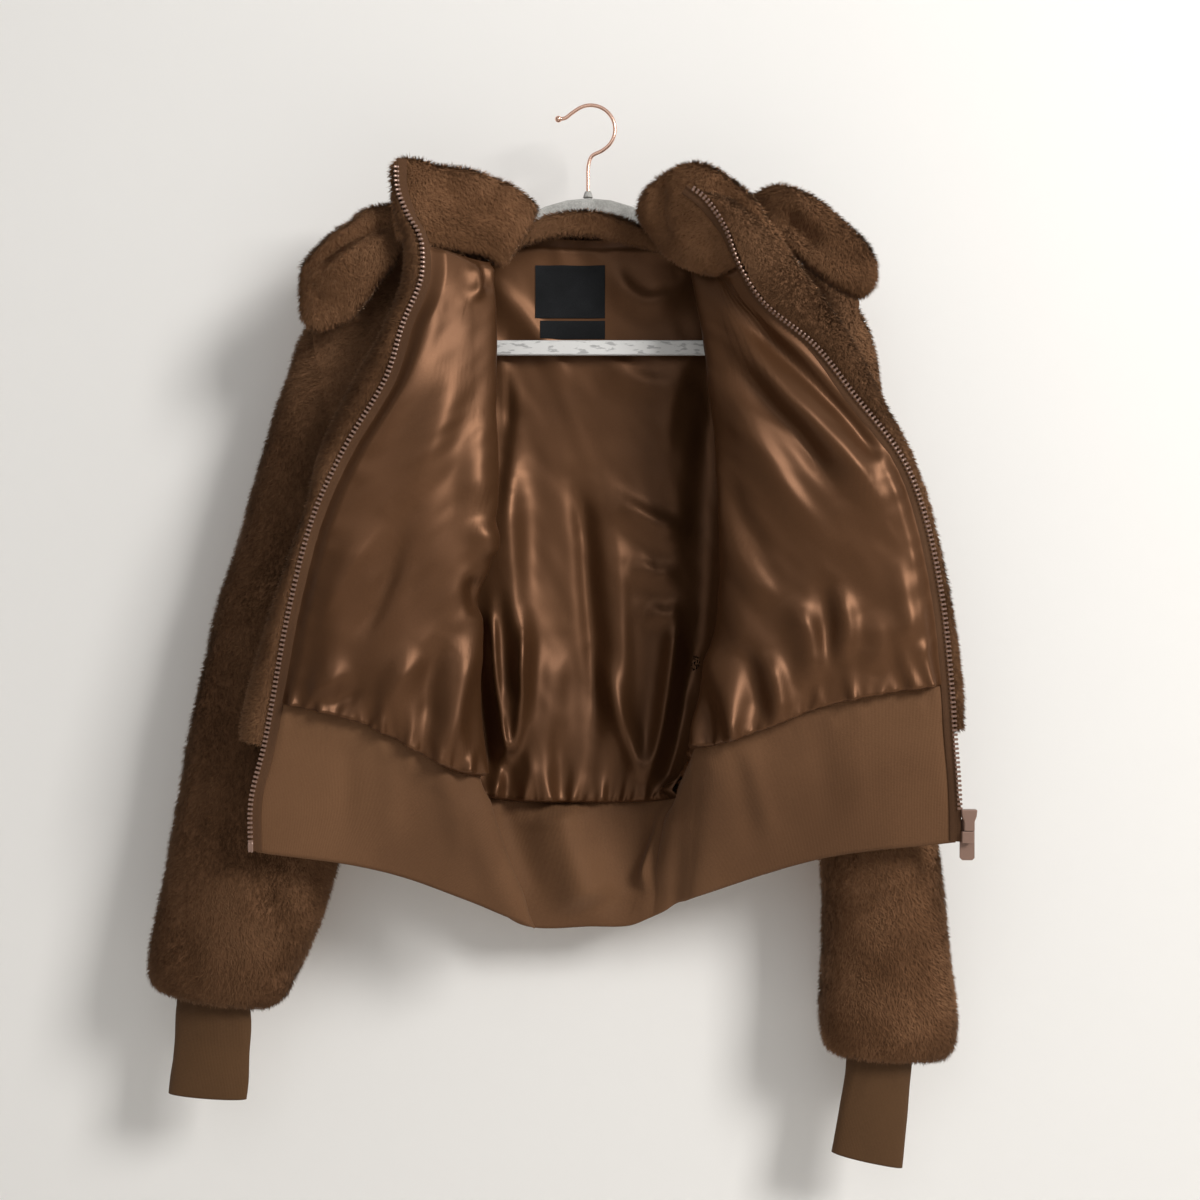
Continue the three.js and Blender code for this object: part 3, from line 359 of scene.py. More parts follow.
def settle(points, levels, side, seam, share):
    """Moves the columns at the shoulder onto its seam."""
    near = np.clip(1 - levels / SHOULDER_BAND, 0, 1)[:, None, None]
    points[:, seam] += near * (shoulder_at(side, share[seam]) - points[:, seam])


def front_surface(side, levels, steps):
    """Points of a front. A step runs from 0 at the zip through 3 at the fold to 6 at the side."""
    out = SIDES[side]
    levels, steps = np.asarray(levels, float), np.asarray(steps, float)
    zip_at, fold = line_at(ZIP_LINE, side, levels), line_at(FRONT_FOLD, side, levels)
    radius, turn = value_at(FRONT_FOLD, "radius", levels), value_at(FRONT_FOLD, side + "Turn", levels)
    rise = zip_at[:, 2] - fold[:, 2]
    fold_in = fold + np.stack([out * radius * 1.1, -radius, rise * 0.09], axis=-1)
    wing = (zip_at + fold_in) / 2
    wing[:, 2] = fold[:, 2] + rise * WING_SHARE
    wing[:, 1] -= WING_BULGE * smoothstep(levels, 0, 0.4) * (1 - 0.6 * smoothstep(levels, 0.8, 1.2))
    neck = line_at(NECK_POINT_LINE, side, levels)
    fold_out = np.stack([fold[:, 0] + out * radius * turn, fold[:, 1] + radius,
                         fold[:, 2] + NECK_SHARE * (neck[:, 2] - fold[:, 2])], axis=-1)
    end = side_seam(side, levels, -1)
    points = through(np.stack([zip_at, wing, fold_in, fold, fold_out, neck, end], axis=1), steps)
    settle(points, levels, side, steps >= 5, steps - 5)
    return points


def back_surface(levels, steps):
    """Points of the back. A step runs from 0 at the left side seam to 4 at the right one."""
    levels, steps = np.asarray(levels, float), np.asarray(steps, float)
    ends = {side: side_seam(side, levels, 1) for side in SIDES}
    quarters = {side: columns_at(BACK_LINE, f"{side}X quarterY {side}Z", levels) for side in SIDES}
    middle = np.stack([np.full(len(levels), float(BACK_MIDDLE_X)), value_at(BACK_LINE, "middleY", levels),
                       value_at(BACK_LINE, "middleZ", levels)], axis=-1)
    knots = [ends["left"], quarters["left"], middle, quarters["right"], ends["right"]]
    points = through(np.stack(knots, axis=1), steps)
    settle(points, levels, "left", steps <= 1, 1 - steps)
    settle(points, levels, "right", steps >= 3, steps - 3)
    return points


def outward(points, sign, closed=False):
    """Unit directions out of the garment at each point of a grid."""
    down = np.gradient(points, axis=0)
    if closed:
        along = (np.roll(points, -1, axis=1) - np.roll(points, 1, axis=1)) / 2
    else:
        along = np.gradient(points, axis=1)
    return unit(np.cross(down, along) * sign)


def body_grids(levels, front_steps, back_steps):
    """Grids of both fronts and the back, with outward directions that agree at their seams."""
    levels = np.asarray(levels, float)
    grids = {"back": back_surface(levels, back_steps)}
    normals = {"back": outward(grids["back"], OUT_SIGN["back"])}
    sewn = smoothstep(levels, UNDERARM - 0.06, UNDERARM)[:, None, None]
    for side in SIDES:
        grids[side] = front_surface(side, levels, front_steps)
        normals[side] = outward(grids[side], OUT_SIGN[side])
        reach_front = smoothstep(front_steps, 5.55, 6)[None, :, None]
        from_seam = back_steps if side == "left" else 4 - np.asarray(back_steps)
        reach_back = (1 - smoothstep(from_seam, 0, 0.4))[None, :, None]
        edge = 0 if side == "left" else -1
        shared = unit(normals[side][:, -1] + normals["back"][:, edge])
        for key, reach in ((side, reach_front), ("back", reach_back)):
            normals[key] = unit(normals[key] + sewn * reach * (shared[:, None] - normals[key]))
    return grids, normals


print("the waist seam of the back is at z =", round(float(back_surface([1.0], [2.0])[0, 0, 2])), "mm")

# %% Meshes from grids


def arc_uv(points):
    """Lengths along and down a grid, in metres, so that weaves keep one scale."""
    across = np.linalg.norm(np.diff(points, axis=1), axis=-1).mean(axis=0)
    down = np.linalg.norm(np.diff(points, axis=0), axis=-1).mean(axis=1)
    u = np.concatenate([[0], np.cumsum(across)]) * MM
    v = np.concatenate([[0], np.cumsum(down)]) * MM
    return np.stack(np.meshgrid(u, -v), axis=-1)


def grid_faces(rows, columns):
    """Quads of a grid, row by row, with the index of each corner."""
    r, c = np.meshgrid(np.arange(rows - 1), np.arange(columns - 1), indexing="ij")
    a = (r * columns + c).ravel()
    return np.stack([a, a + 1, a + columns + 1, a + columns], axis=-1)


def new_piece(name, vertices, faces, uv, material, smooth=True):
    """A mesh piece on the jacket's body. uv holds one pair for each corner of each face."""
    mesh = bpy.data.meshes.new(name)
    mesh.from_pydata((np.asarray(vertices) * MM).tolist(), [], np.asarray(faces).tolist())
    layer = mesh.uv_layers.new(name="cloth")
    layer.data.foreach_set("uv", np.asarray(uv, np.float32).ravel())
    mesh.polygons.foreach_set("use_smooth", [smooth] * len(mesh.polygons))
    mesh.materials.append(material)
    return on_body(in_scene(name, mesh))


def grid_piece(name, node, points, material, slot, flip=False, closed=False, **cloth):
    """One sheet from a grid, in a node's place. A closed grid's last column repeats its first."""
    columns = points.shape[1]
    corners = grid_faces(*points.shape[:2])
    if flip:
        corners = corners[:, ::-1]
    loops = arc_uv(points).reshape(-1, 2)[corners]
    if closed:
        row, column = np.divmod(corners, columns)
        corners = row * (columns - 1) + column % (columns - 1)
        points = points[:, :-1]
    piece = new_piece(name, points.reshape(-1, 3), corners, loops, material)
    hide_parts(node)
    return piece


print("one grid of 3 by 4 points has", len(grid_faces(3, 4)), "faces")

# %% [markdown]
# ## Folds
#
# Cloth hangs in soft ridges and troughs that start at a seam, a corner or a pin and fade out. A
# tailor would name them one by one, so each is a short row here: its height, how wide it is on
# its two sides, and the few places that it runs through, as seen from the front. A lopsided fold
# has a steep side and a shallow side, which is what satin shows most. Small uneven gathers, which
# nobody could name, grow from the seams by a seeded rule.

# %% Ridges and troughs
PATH_POINTS = 100
FADE = 0.35    # the share of a fold's length over which it fades at each end
LATTICE = 64   # the noise repeats after this many lumps


def ridge(seen, height, left, right, places, fade=FADE):
    """Height of one fold at each point of seen (x, z). left and right are its half widths."""
    if len(places) > 2:
        knots = np.array(places, float)[None]
        path = through(knots, np.linspace(0, len(places) - 1, PATH_POINTS))[0]
    else:
        path = np.linspace(places[0], places[-1], PATH_POINTS)
    flat = seen.reshape(-1, 2)
    reach = 3.2 * max(left, right)
    low, high = path.min(axis=0) - reach, path.max(axis=0) + reach
    near = np.flatnonzero(((flat > low) & (flat < high)).all(axis=1))
    out = np.zeros(len(flat))
    if not len(near):
        return out.reshape(seen.shape[:-1])
    offset = flat[near, None] - path[None]
    distance = np.linalg.norm(offset, axis=-1)
    at = distance.argmin(axis=1)
    tangent = np.gradient(path, axis=0)[at]
    apart = offset[np.arange(len(near)), at]
    beside = (tangent[:, 0] * apart[:, 1] - tangent[:, 1] * apart[:, 0]) > 0
    width = np.where(beside, left, right)
    along = at / (len(path) - 1)
    ends = smoothstep(along, 0, fade) * smoothstep(1 - along, 0, fade)
    out[near] = height * np.exp(-(distance.min(axis=1) / width)**2) * (0.12 + 0.88 * ends)
    return out.reshape(seen.shape[:-1])


def folds(points, rows):
    """All of a table's folds, added up, at the points of a grid."""
    seen = points[..., [0, 2]]
    return sum((ridge(seen, *row) for row in rows), np.zeros(points.shape[:-1]))


def drift(u, v, scale, seed):
    """Smooth noise from -1 to 1 over a plane, with soft lumps about as large as scale."""
    random = np.random.default_rng(seed)
    lattice = random.uniform(-1, 1, (LATTICE, LATTICE))
    x, y = np.asarray(u) / scale, np.asarray(v) / scale
    column, row = np.floor(x).astype(int), np.floor(y).astype(int)
    fx, fy = smoothstep(x - column, 0, 1), smoothstep(y - row, 0, 1)

    def corner(dx, dy):
        return lattice[(row + dy) % LATTICE, (column + dx) % LATTICE]
    return ((corner(0, 0) * (1 - fx) + corner(1, 0) * fx) * (1 - fy)
            + (corner(0, 1) * (1 - fx) + corner(1, 1) * fx) * fy)


def gathers(along, away, spacing, height, reach, seed):
    """Uneven puckers at a seam. along runs with the seam, and away is how far from it."""
    random = np.random.default_rng(seed)
    out = np.zeros(along.shape)
    place = along.min() + spacing * 0.5
    while place < along.max():
        width = spacing * random.uniform(0.22, 0.42)
        length = reach * random.uniform(0.35, 1.5)
        lean = random.uniform(-0.25, 0.25)
        top = height * random.uniform(0.3, 1.25)
        middle = place + lean * away
        spread = width * (1 + away / (2.2 * reach))
        out += top * np.exp(-((along - middle) / spread)**2) * np.exp(-(away / length)**1.5)
        place += spacing * random.uniform(0.55, 1.5)
    return out


print("a fold is a curve of", PATH_POINTS, "points")

# %% [markdown]
# ## Finishes
#
# The satin is a fine, tightly woven twill. Its highlights are broad and keep the cloth's own
# colour, as a dyed metal's would, so it takes some metallic and a middling roughness. A faint
# grain and slow changes of tone come from two shader groups that the other cloths share: one
# for tone that drifts over the surface, and one for a fine weave or rib as height.

# %% Shader groups that several finishes share
COLOUR, FLOAT = "NodeSocketColor", "NodeSocketFloat"


def new_group(name, inputs, outputs):
    """An empty shader group with named sockets: inputs are (name, kind, default)."""
    group = bpy.data.node_groups.new(name, "ShaderNodeTree")
    for label, kind, default in inputs:
        socket = group.interface.new_socket(name=label, in_out="INPUT", socket_type=kind)
        socket.default_value = default
    for label, kind in outputs:
        group.interface.new_socket(name=label, in_out="OUTPUT", socket_type=kind)
    return group, group.nodes.new("NodeGroupInput").outputs, group.nodes.new("NodeGroupOutput")


# Tone: a colour that drifts between three tones, in large patches and in small ones.
tone_group, tone_in, tone_out = new_group(
    "drifting_tone",
    [("Dark", COLOUR, (0.05, 0.03, 0.02, 1)), ("Middle", COLOUR, (0.1, 0.06, 0.04, 1)),
     ("Light", COLOUR, (0.2, 0.12, 0.08, 1)), ("Patch Scale", FLOAT, 12.0),
     ("Grain Scale", FLOAT, 400.0), ("Grain Amount", FLOAT, 0.3)],
    [("Colour", COLOUR), ("Patches", FLOAT)])
place = add_node(tone_group, "ShaderNodeTexCoord").outputs["Object"]
patches = add_node(tone_group, "ShaderNodeTexNoise", Detail=3, Vector=place,
                   Scale=tone_in["Patch Scale"]).outputs["Fac"]
grain = add_node(tone_group, "ShaderNodeTexNoise", Detail=2, Vector=place,
                 Scale=tone_in["Grain Scale"]).outputs["Fac"]
grain_part = math_node(tone_group, "MULTIPLY", math_node(tone_group, "SUBTRACT", grain, 0.5),
                       tone_in["Grain Amount"])
level = math_node(tone_group, "ADD", patches, grain_part)
mixed = tone_in["Dark"]
for label, start, end in (("Middle", 0.3, 0.52), ("Light", 0.48, 0.72)):
    share = add_node(tone_group, "ShaderNodeMapRange", Value=level, From_Min=start, From_Max=end)
    mixed = add_node(tone_group, "ShaderNodeMix", {"data_type": "RGBA"}, Factor=share.outputs["Result"],
                     A=mixed, B=tone_in[label]).outputs["Result"]
feed(tone_out, Colour=mixed, Patches=patches)

# Thread: a height made of ribs along the cloth and a finer cross weave, in the cloth's own scale.
THREAD_INPUTS = ("Ribs Per Metre", "Rib Height", "Rows Per Metre", "Row Height")
thread_group, thread_in, thread_out = new_group(
    "thread_height", [(label, FLOAT, value) for label, value in zip(THREAD_INPUTS, (500.0, 1.0, 800.0, 0.3))],
    [("Height", FLOAT)])
cloth_map = add_node(thread_group, "ShaderNodeUVMap", {"uv_map": "cloth"})
split = add_node(thread_group, "ShaderNodeSeparateXYZ", Vector=cloth_map.outputs["UV"])
waves = []
for axis, count, height in (("X", *THREAD_INPUTS[:2]), ("Y", *THREAD_INPUTS[2:])):
    turns = math_node(thread_group, "MULTIPLY", split.outputs[axis], thread_in[count])
    wave = math_node(thread_group, "SINE", math_node(thread_group, "MULTIPLY", turns, 2 * math.pi))
    waves.append(math_node(thread_group, "MULTIPLY", wave, thread_in[height]))
feed(thread_out, Height=math_node(thread_group, "ADD", *waves))
print("shader groups:", tone_group.name, thread_group.name)

# %% One function for cloth finishes
RELIEF = 0.0004   # how deep a thread's height counts, in metres


def drifting(tree, tones, patch_scale, grain_scale, grain_amount):
    """The colour of the drifting tone group, from three tones and its scales."""
    dark, middle, light = ((*tone, 1) for tone in tones)
    node = add_node(tree, "ShaderNodeGroup", {"node_tree": tone_group}, Dark=dark, Middle=middle, Light=light,
                    Patch_Scale=patch_scale, Grain_Scale=grain_scale, Grain_Amount=grain_amount)
    return node.outputs["Colour"]


def cloth_finish(name, tones, scales, thread=None, bump=0.2, **look):
    """Drifting tones, with scales for their patches and grain. thread is what its group takes."""
    material, tree, bsdf = new_finish(name, **look)
    feed(bsdf, Base_Color=drifting(tree, tones, *scales))
    if thread:
        weave = add_node(tree, "ShaderNodeGroup", {"node_tree": thread_group})
        for label, value in zip(THREAD_INPUTS, thread):
            plug(weave.inputs[label], value)
        relief = add_node(tree, "ShaderNodeBump", Strength=bump, Distance=RELIEF,
                          Height=weave.outputs["Height"])
        feed(bsdf, Normal=relief.outputs["Normal"])
    return material


KNIT = {"scales": (7, 700, 0.25), "thread": (900, 1.0, 900, 0.45), "bump": 0.25, "Roughness": 0.72,
        "Specular_IOR_Level": 0.15, "Sheen_Roughness": 0.5, "Sheen_Tint": (0.8, 0.55, 0.38, 1)}
satin = cloth_finish("satin", [(0.088, 0.0375, 0.0148), (0.108, 0.0465, 0.0188), (0.136, 0.06, 0.0255)],
                     (5, 900, 0.15), (2600, 0.5, 1700, 0.3), 0.06, Roughness=0.41, Metallic=0.54,
                     Specular_IOR_Level=0.3)
rib_knit = cloth_finish("rib_knit", [(0.112, 0.052, 0.0235), (0.137, 0.065, 0.030), (0.166, 0.081, 0.038)],
                        Sheen_Weight=0.12, **KNIT)
# Painted shade: the cuffs are the same rib as the band, made darker because they hang low and close to the
# wall.
cuff_knit_painted_shade = cloth_finish("cuff_knit_painted_shade", [(0.07, 0.033, 0.0135), (0.086, 0.042, 0.0175), (0.105, 0.052, 0.022)],
                         Sheen_Weight=0.1, **KNIT)
fur_backing = cloth_finish("fur_backing", [(0.11, 0.053, 0.026), (0.15, 0.075, 0.038), (0.19, 0.098, 0.051)],
                           (9, 500, 0.4), Roughness=0.95, Specular_IOR_Level=0.1)
tape_cloth = cloth_finish("zip_tape", [(0.085, 0.039, 0.018), (0.108, 0.051, 0.024), (0.135, 0.067, 0.033)],
                          (10, 900, 0.3), (1400, 0.8, 1400, 0.8), 0.5, Roughness=0.8, Specular_IOR_Level=0.2)
label_cloth = cloth_finish("label_cloth",
                           [(0.008, 0.009, 0.01), (0.013, 0.014, 0.016), (0.022, 0.024, 0.027)],
                           (20, 1500, 0.5), (1800, 1.0, 2600, 1.0), 0.6, Roughness=0.75,
                           Specular_IOR_Level=0.3)
velvet = cloth_finish("velvet", [(0.33, 0.325, 0.305), (0.46, 0.455, 0.43), (0.6, 0.59, 0.56)],
                      (45, 900, 0.6), Roughness=0.95, Specular_IOR_Level=0.1, Sheen_Weight=0.6,
                      Sheen_Roughness=0.4, Sheen_Tint=(1, 0.98, 0.95, 1))


def hard_finish(name, colour, roughness, metallic, speck=0.06):
    """Moulded plastic or metal, with a roughness that varies a little over the surface."""
    material, tree, bsdf = new_finish(name, Base_Color=(*colour, 1), Metallic=metallic)
    scuffs = add_node(tree, "ShaderNodeTexNoise", Scale=160)
    varied = add_node(tree, "ShaderNodeMapRange", Value=scuffs.outputs["Fac"], To_Min=roughness - speck,
                      To_Max=roughness + speck)
    feed(bsdf, Roughness=varied.outputs["Result"])
    return material


zip_plastic = hard_finish("zip_plastic", (0.27, 0.165, 0.125), 0.34, 0.25)
rose_gold = hard_finish("rose_gold", (0.86, 0.55, 0.43), 0.2, 1.0)
print("finishes:", len(bpy.data.materials))

# %% Pile finish: painted shade at the root, lighter at the tip
# Each blade of pile keeps two numbers in its cloth map: how it was shuffled, shifted by its piece's painted
# light and shade, and root to tip. Both faces of a blade are lit as its outer face, so a blade that is seen
# from behind isn't black.
pile, tree, bsdf = new_finish("pile", Roughness=0.85, Specular_IOR_Level=0.06, Sheen_Weight=0.12,
                              Sheen_Roughness=0.45, Sheen_Tint=(0.85, 0.6, 0.42, 1))
colour = drifting(tree, [(0.105, 0.05, 0.0235), (0.16, 0.078, 0.038), (0.23, 0.118, 0.06)], 16, 350, 0.25)
blade_map = add_node(tree, "ShaderNodeUVMap", {"uv_map": "cloth"})
blade = add_node(tree, "ShaderNodeSeparateXYZ", Vector=blade_map.outputs["UV"])
# Painted shade: each blade darkens towards its root, where the pile shades itself, and lightens at its tip.
painted_root_shade = add_node(tree, "ShaderNodeMapRange", Value=blade.outputs["Y"], To_Min=0.8, To_Max=1.14)
# The shuffle also carries each piece's painted light and shade.
shuffle = add_node(tree, "ShaderNodeMapRange", {"clamp": False}, Value=blade.outputs["X"],
                   To_Min=0.86, To_Max=1.14)
brightness = math_node(tree, "MULTIPLY", painted_root_shade.outputs["Result"], shuffle.outputs["Result"])
facing = add_node(tree, "ShaderNodeNewGeometry")
sign = math_node(tree, "SUBTRACT", 1.0, math_node(tree, "MULTIPLY", facing.outputs["Backfacing"], 2.0))
outer_face = facing.outputs["Normal"]
for target, vector, amount in (("Base_Color", colour, brightness), ("Normal", outer_face, sign)):
    scaled = add_node(tree, "ShaderNodeVectorMath", {"operation": "SCALE"}, Vector=vector, Scale=amount)
    feed(bsdf, **{target: scaled.outputs["Vector"]})
print("pile nodes:", len(tree.nodes))

# %% [markdown]
# ## The lining
#
# A satin lining is cut a little larger than the fur, so that it never pulls. It hangs in soft,
# lopsided folds, puckers where it is eased into the waist seam, and pulls straight beside the
# zip. It could be simulated, but its folds are known one by one, so they are laid in on
# a dense sheet: a fold's height is how far it stands in from the fur.

# %% Back lining
LINING_ROWS = 160
BACK_LONG = 454   # from the neckline to the waist seam, down the back
FULLNESS = 6      # how far the lining stands in from the fur between its seams
lining_levels = np.linspace(0, 1, LINING_ROWS)
front_steps = np.concatenate([np.linspace(0, 3.4, 125), np.linspace(3.4, 6, 30)[1:]])
back_steps = np.linspace(0, 4, 160)
grids, normals = body_grids(lining_levels, front_steps, back_steps)

# Each fold's height, its half widths to the left and right of its line, the line's places (x, z)
# and, where it isn't the usual share, how much of it fades at each end.
BACK_FOLDS = [
    (17, 14, 52, [(-64, -262), (-62, -340), (-56, -430), (-44, -530)], 0.3),
    (-11, 10, 8, [(-88, -395), (-86, -455), (-79, -510), (-70, -546)], 0.2),
    (-8, 10, 14, [(100, -190), (102, -290), (97, -400), (88, -480)], 0.2),
    (-8, 10, 8, [(-12, -296), (-2, -330), (3, -394), (9, -460), (5, -532)], 0.3),
    (5, 9, 16, [(18, -300), (26, -380), (28, -470), (22, -540)]),
    (7, 8, 13, [(16, -302), (40, -322), (66, -334), (88, -338)]),
    (4.5, 7, 11, [(34, -360), (56, -372), (80, -370)]),
    (5, 6, 10, [(48, -398), (64, -406), (82, -400)]),
    (9, 5, 6, [(-77, -396), (-75, -450), (-69, -500), (-62, -522)], 0.2),
    (8, 6, 5, [(-49, -405), (-50, -460), (-55, -502), (-62, -522)], 0.2),
    (-4, 6, 9, [(-70, -380), (-64, -440), (-52, -490)]),
    (10, 6, 9, [(75, -405), (70, -450), (61, -508), (50, -546)], 0.2),
    (7, 9, 7, [(8, -430), (22, -476), (38, -518), (50, -544)], 0.25),
    (-10, 12, 6, [(88, -420), (82, -470), (73, -520), (62, -549)], 0.2),
    (5, 10, 14, [(-18, -420), (-22, -470), (-16, -520)]),
    (4, 7, 12, [(-84, -130), (-60, -152), (-30, -190), (-8, -230)]),
    (3.5, 8, 10, [(-90, -170), (-66, -205), (-52, -250)]),
    (5, 7, 12, [(18, -122), (36, -146), (52, -153), (90, -140)], 0.3),
    (4, 8, 12, [(12, -190), (40, -215), (80, -222)]),
    (3.5, 9, 14, [(92, -180), (70, -235), (64, -290)]),
    (-3.5, 9, 9, [(98, -230), (90, -300), (88, -380)]),
    (-4, 7, 12, [(-60, -190), (-66, -270), (-74, -340)]),
    (3, 12, 12, [(-110, -220), (-120, -320), (-116, -420)]),
    (3, 12, 14, [(130, -220), (132, -320), (118, -430)]),
]


def sewn_edges(level):
    """0 in the seams at the neckline and the waist, and 1 between them."""
    return smoothstep(level, 0, 0.02) * (1 - smoothstep(level, 0.992, 1))


def back_lining_points():
    points, out = grids["back"], normals["back"]
    along, level = points[..., 0], lining_levels[:, None] + 0 * points[..., 0]
    from_waist = (1 - level) * BACK_LONG
    height = folds(points, BACK_FOLDS)
    height += gathers(along, from_waist, 9, 5.4, 20, seed=5)
    height += gathers(along, from_waist, 25, 8, 100, seed=9)
    height += gathers(along, level * BACK_LONG, 17, 1.6, 18, seed=6)
    height += 1.4 * drift(along, points[..., 2] * 0.45, 30, 7)
    height += 0.4 * drift(along + 0.4 * points[..., 2], points[..., 2] * 0.5, 10, 8)
    return points - out * ((height + FULLNESS) * sewn_edges(level) + 0.6)[..., None]


lining_points = back_lining_points()
grid_piece("lining_back", "back_lining", lining_points, satin, "satin", flip=True,
           flat=(0.45, 0.47), area=0.18, held="gathered", rests_on=["back_fur"])

# %% Front linings
LEFT_FOLDS = [
    (2.5, 9, 12, [(-112, -156), (-116, -185), (-128, -225), (-146, -262), (-168, -300)], 0.3),
    (-3, 7, 9, [(-124, -170), (-138, -215), (-158, -252), (-182, -290)], 0.3),
    (3.5, 12, 18, [(-96, -190), (-104, -240), (-120, -290), (-144, -340)], 0.4),
    (-3, 12, 12, [(-84, -210), (-90, -260), (-98, -320), (-112, -370)], 0.4),
    (4, 4, 6, [(-92, -136), (-86, -146), (-84, -158), (-92, -168)], 0.3),
    (-4, 4, 4, [(-82, -134), (-78, -146), (-80, -160)], 0.3),
    (5, 8, 14, [(-150, -330), (-180, -380), (-200, -420)], 0.4),
    (-4, 7, 9, [(-130, -330), (-150, -390), (-170, -430)], 0.4),
    (7, 10, 9, [(-82, -330), (-78, -350), (-76, -366)], 0.4),
    (-8, 9, 7, [(-84, -372), (-84, -390), (-82, -410)], 0.4),
    (6, 8, 13, [(-84, -420), (-96, -450), (-100, -490), (-92, -530)]),
    (-5, 8, 9, [(-104, -420), (-116, -460), (-112, -500)]),
    (5, 8, 12, [(-120, -430), (-140, -455), (-150, -480)], 0.4),
    (4, 7, 10, [(-170, -440), (-190, -455), (-206, -462)], 0.4),
    (-4, 7, 8, [(-160, -455), (-180, -468), (-196, -474)], 0.4),
    (4, 10, 12, [(-78, -240), (-84, -290), (-82, -330)]),
]
RIGHT_FOLDS = [
    (-9, 9, 7, [(104, -150), (140, -200), (176, -236), (206, -270), (228, -300)], 0.25),
    (8, 8, 12, [(112, -175), (140, -226), (172, -262), (200, -292), (222, -330)], 0.3),
    (-8, 8, 8, [(112, -210), (140, -246), (168, -280), (190, -316)], 0.3),
    (5, 8, 13, [(108, -230), (130, -270), (152, -310), (180, -350)]),
    (-4, 9, 8, [(106, -290), (120, -330), (140, -370)]),
    (4, 8, 12, [(110, -330), (128, -372), (146, -400)]),
    (8, 9, 13, [(150, -392), (166, -412), (172, -436), (160, -462)]),
    (6, 8, 12, [(186, -380), (196, -412), (190, -446)]),
    (-5, 8, 9, [(176, -370), (182, -410), (176, -450)]),
    (7, 9, 12, [(96, -420), (104, -450), (112, -480), (118, -506)], 0.3),
    (-6, 8, 9, [(118, -420), (128, -455), (134, -490)], 0.3),
    (6, 8, 11, [(138, -430), (146, -460), (150, -490)]),
    (5, 8, 12, [(210, -400), (220, -425), (214, -450)]),
    (4, 8, 10, [(230, -360), (240, -400), (238, -440)]),
    (-4, 7, 9, [(96, -460), (98, -490), (98, -515)]),
]
FRONT_FOLDS = {"left": LEFT_FOLDS, "right": RIGHT_FOLDS}
FRONT_LONG = 400   # from the neckline to the waist seam, down a front
TAPE_WIDTH = 8
GATHER_SEED = {"left": 20, "right": 30}


def travelled(points, axis):
    """How far each point of a grid is along its row or its column."""
    first = points[:, :1] if axis else points[:1]
    return np.cumsum(np.linalg.norm(np.diff(points, axis=axis, prepend=first), axis=-1), axis=axis)


def front_lining_points(side):
    points, out = grids[side], normals[side]
    level = lining_levels[:, None] + 0 * points[..., 0]
    step = front_steps[None, :] + 0 * level
    shown = 1 - smoothstep(step, 2.85, 3.4)
    across, down = travelled(points, 1), travelled(points, 0)
    from_waist = (1 - level) * FRONT_LONG
    seed = GATHER_SEED[side]
    height = folds(points, FRONT_FOLDS[side]) * shown
    height += gathers(across, from_waist, 9, 5.2, 18, seed=seed + 1)
    height += gathers(across, from_waist, 24, 6.5, 66, seed=seed + 5)
    height += gathers(down, across, 15, 3.0, 18, seed=seed + 2) * smoothstep(level, 0.2, 0.5)
    height += 1.4 * drift(across, down * 0.45, 30, seed + 3) * shown
    height += 0.4 * drift(across + 0.4 * down, down * 0.5, 10, seed + 4)
    held = sewn_edges(level) * smoothstep(across, TAPE_WIDTH - 3, TAPE_WIDTH + 10)
    return points - out * ((height + FULLNESS * shown) * held + 0.2)[..., None]


for side in SIDES:
    grid_piece(f"lining_front_{side}", f"front_{side}_lining", front_lining_points(side), satin, "satin",
               flip=OUT_SIGN[side] < 0, flat=(0.32, 0.47), area=0.115, held="gathered",
               rests_on=[f"front_{side}_fur"])

# %% [markdown]
# ## The waistband
#
# One band of fine rib knit, folded double, runs from zip to zip. It is stiffer than the satin, so
# it has few folds: a soft roll where each front turns back, a broad trough on each side of the
# back, and small puckers under the seam. The band is made as a closed wall, its inside face, its
# rounded foot and its outside face in one grid that goes down one side and up the other.

# %% Waistband
BAND_WALL = 4
BAND_ROWS = 34
BAND_TALL = 108
BAND_FOLDS = [
    (5, 9, 16, [(-84, -536), (-76, -566), (-64, -600), (-44, -645)], 0.2),
    (4, 10, 14, [(76, -552), (66, -590), (54, -630)], 0.3),
    (2.5, 6, 9, [(122, -494), (134, -540), (148, -585)]),
    (-2, 8, 8, [(112, -500), (122, -545), (132, -590)]),
    (1.8, 9, 12, [(200, -470), (206, -520), (212, -570)], 0.4),
    (-1.8, 10, 10, [(176, -475), (180, -520), (190, -575)], 0.4),
    (2.2, 8, 12, [(-150, -500), (-144, -540), (-150, -585)], 0.4),
    (-2, 9, 9, [(-180, -490), (-178, -535), (-184, -580)], 0.4),
    (1.8, 8, 10, [(-108, -520), (-98, -560), (-92, -610)], 0.4),
    (1.8, 14, 14, [(6, -565), (4, -600), (8, -640)], 0.4),
    (-1.6, 10, 10, [(-26, -565), (-22, -600), (-20, -640)], 0.4),
]
BAND_BACK_FOLDS = [
    (-4, 20, 10, [(-72, -552), (-60, -590), (-42, -640)], 0.2),
    (20, 20, 25, [(-24, -556), (-12, -598), (8, -645)], 0.2),
    (-3, 8, 14, [(58, -566), (46, -596), (30, -634)], 0.25),
    (9, 16, 9, [(76, -556), (62, -592), (44, -630)], 0.25),
]
band_levels = np.linspace(1, 2, BAND_ROWS)
band_front = np.concatenate([np.linspace(0, 3.4, 100), np.linspace(3.4, 6, 42)[1:]])
band_back = np.linspace(0, 4, 100)


def joined(parts):
    """Left front, back and right front side by side, from the tape's edge of one to the other."""
    right = parts["right"][:, 1:][:, ::-1]
    return np.concatenate([parts["left"][:, 1:], parts["back"][:, 1:-1], right], axis=1)


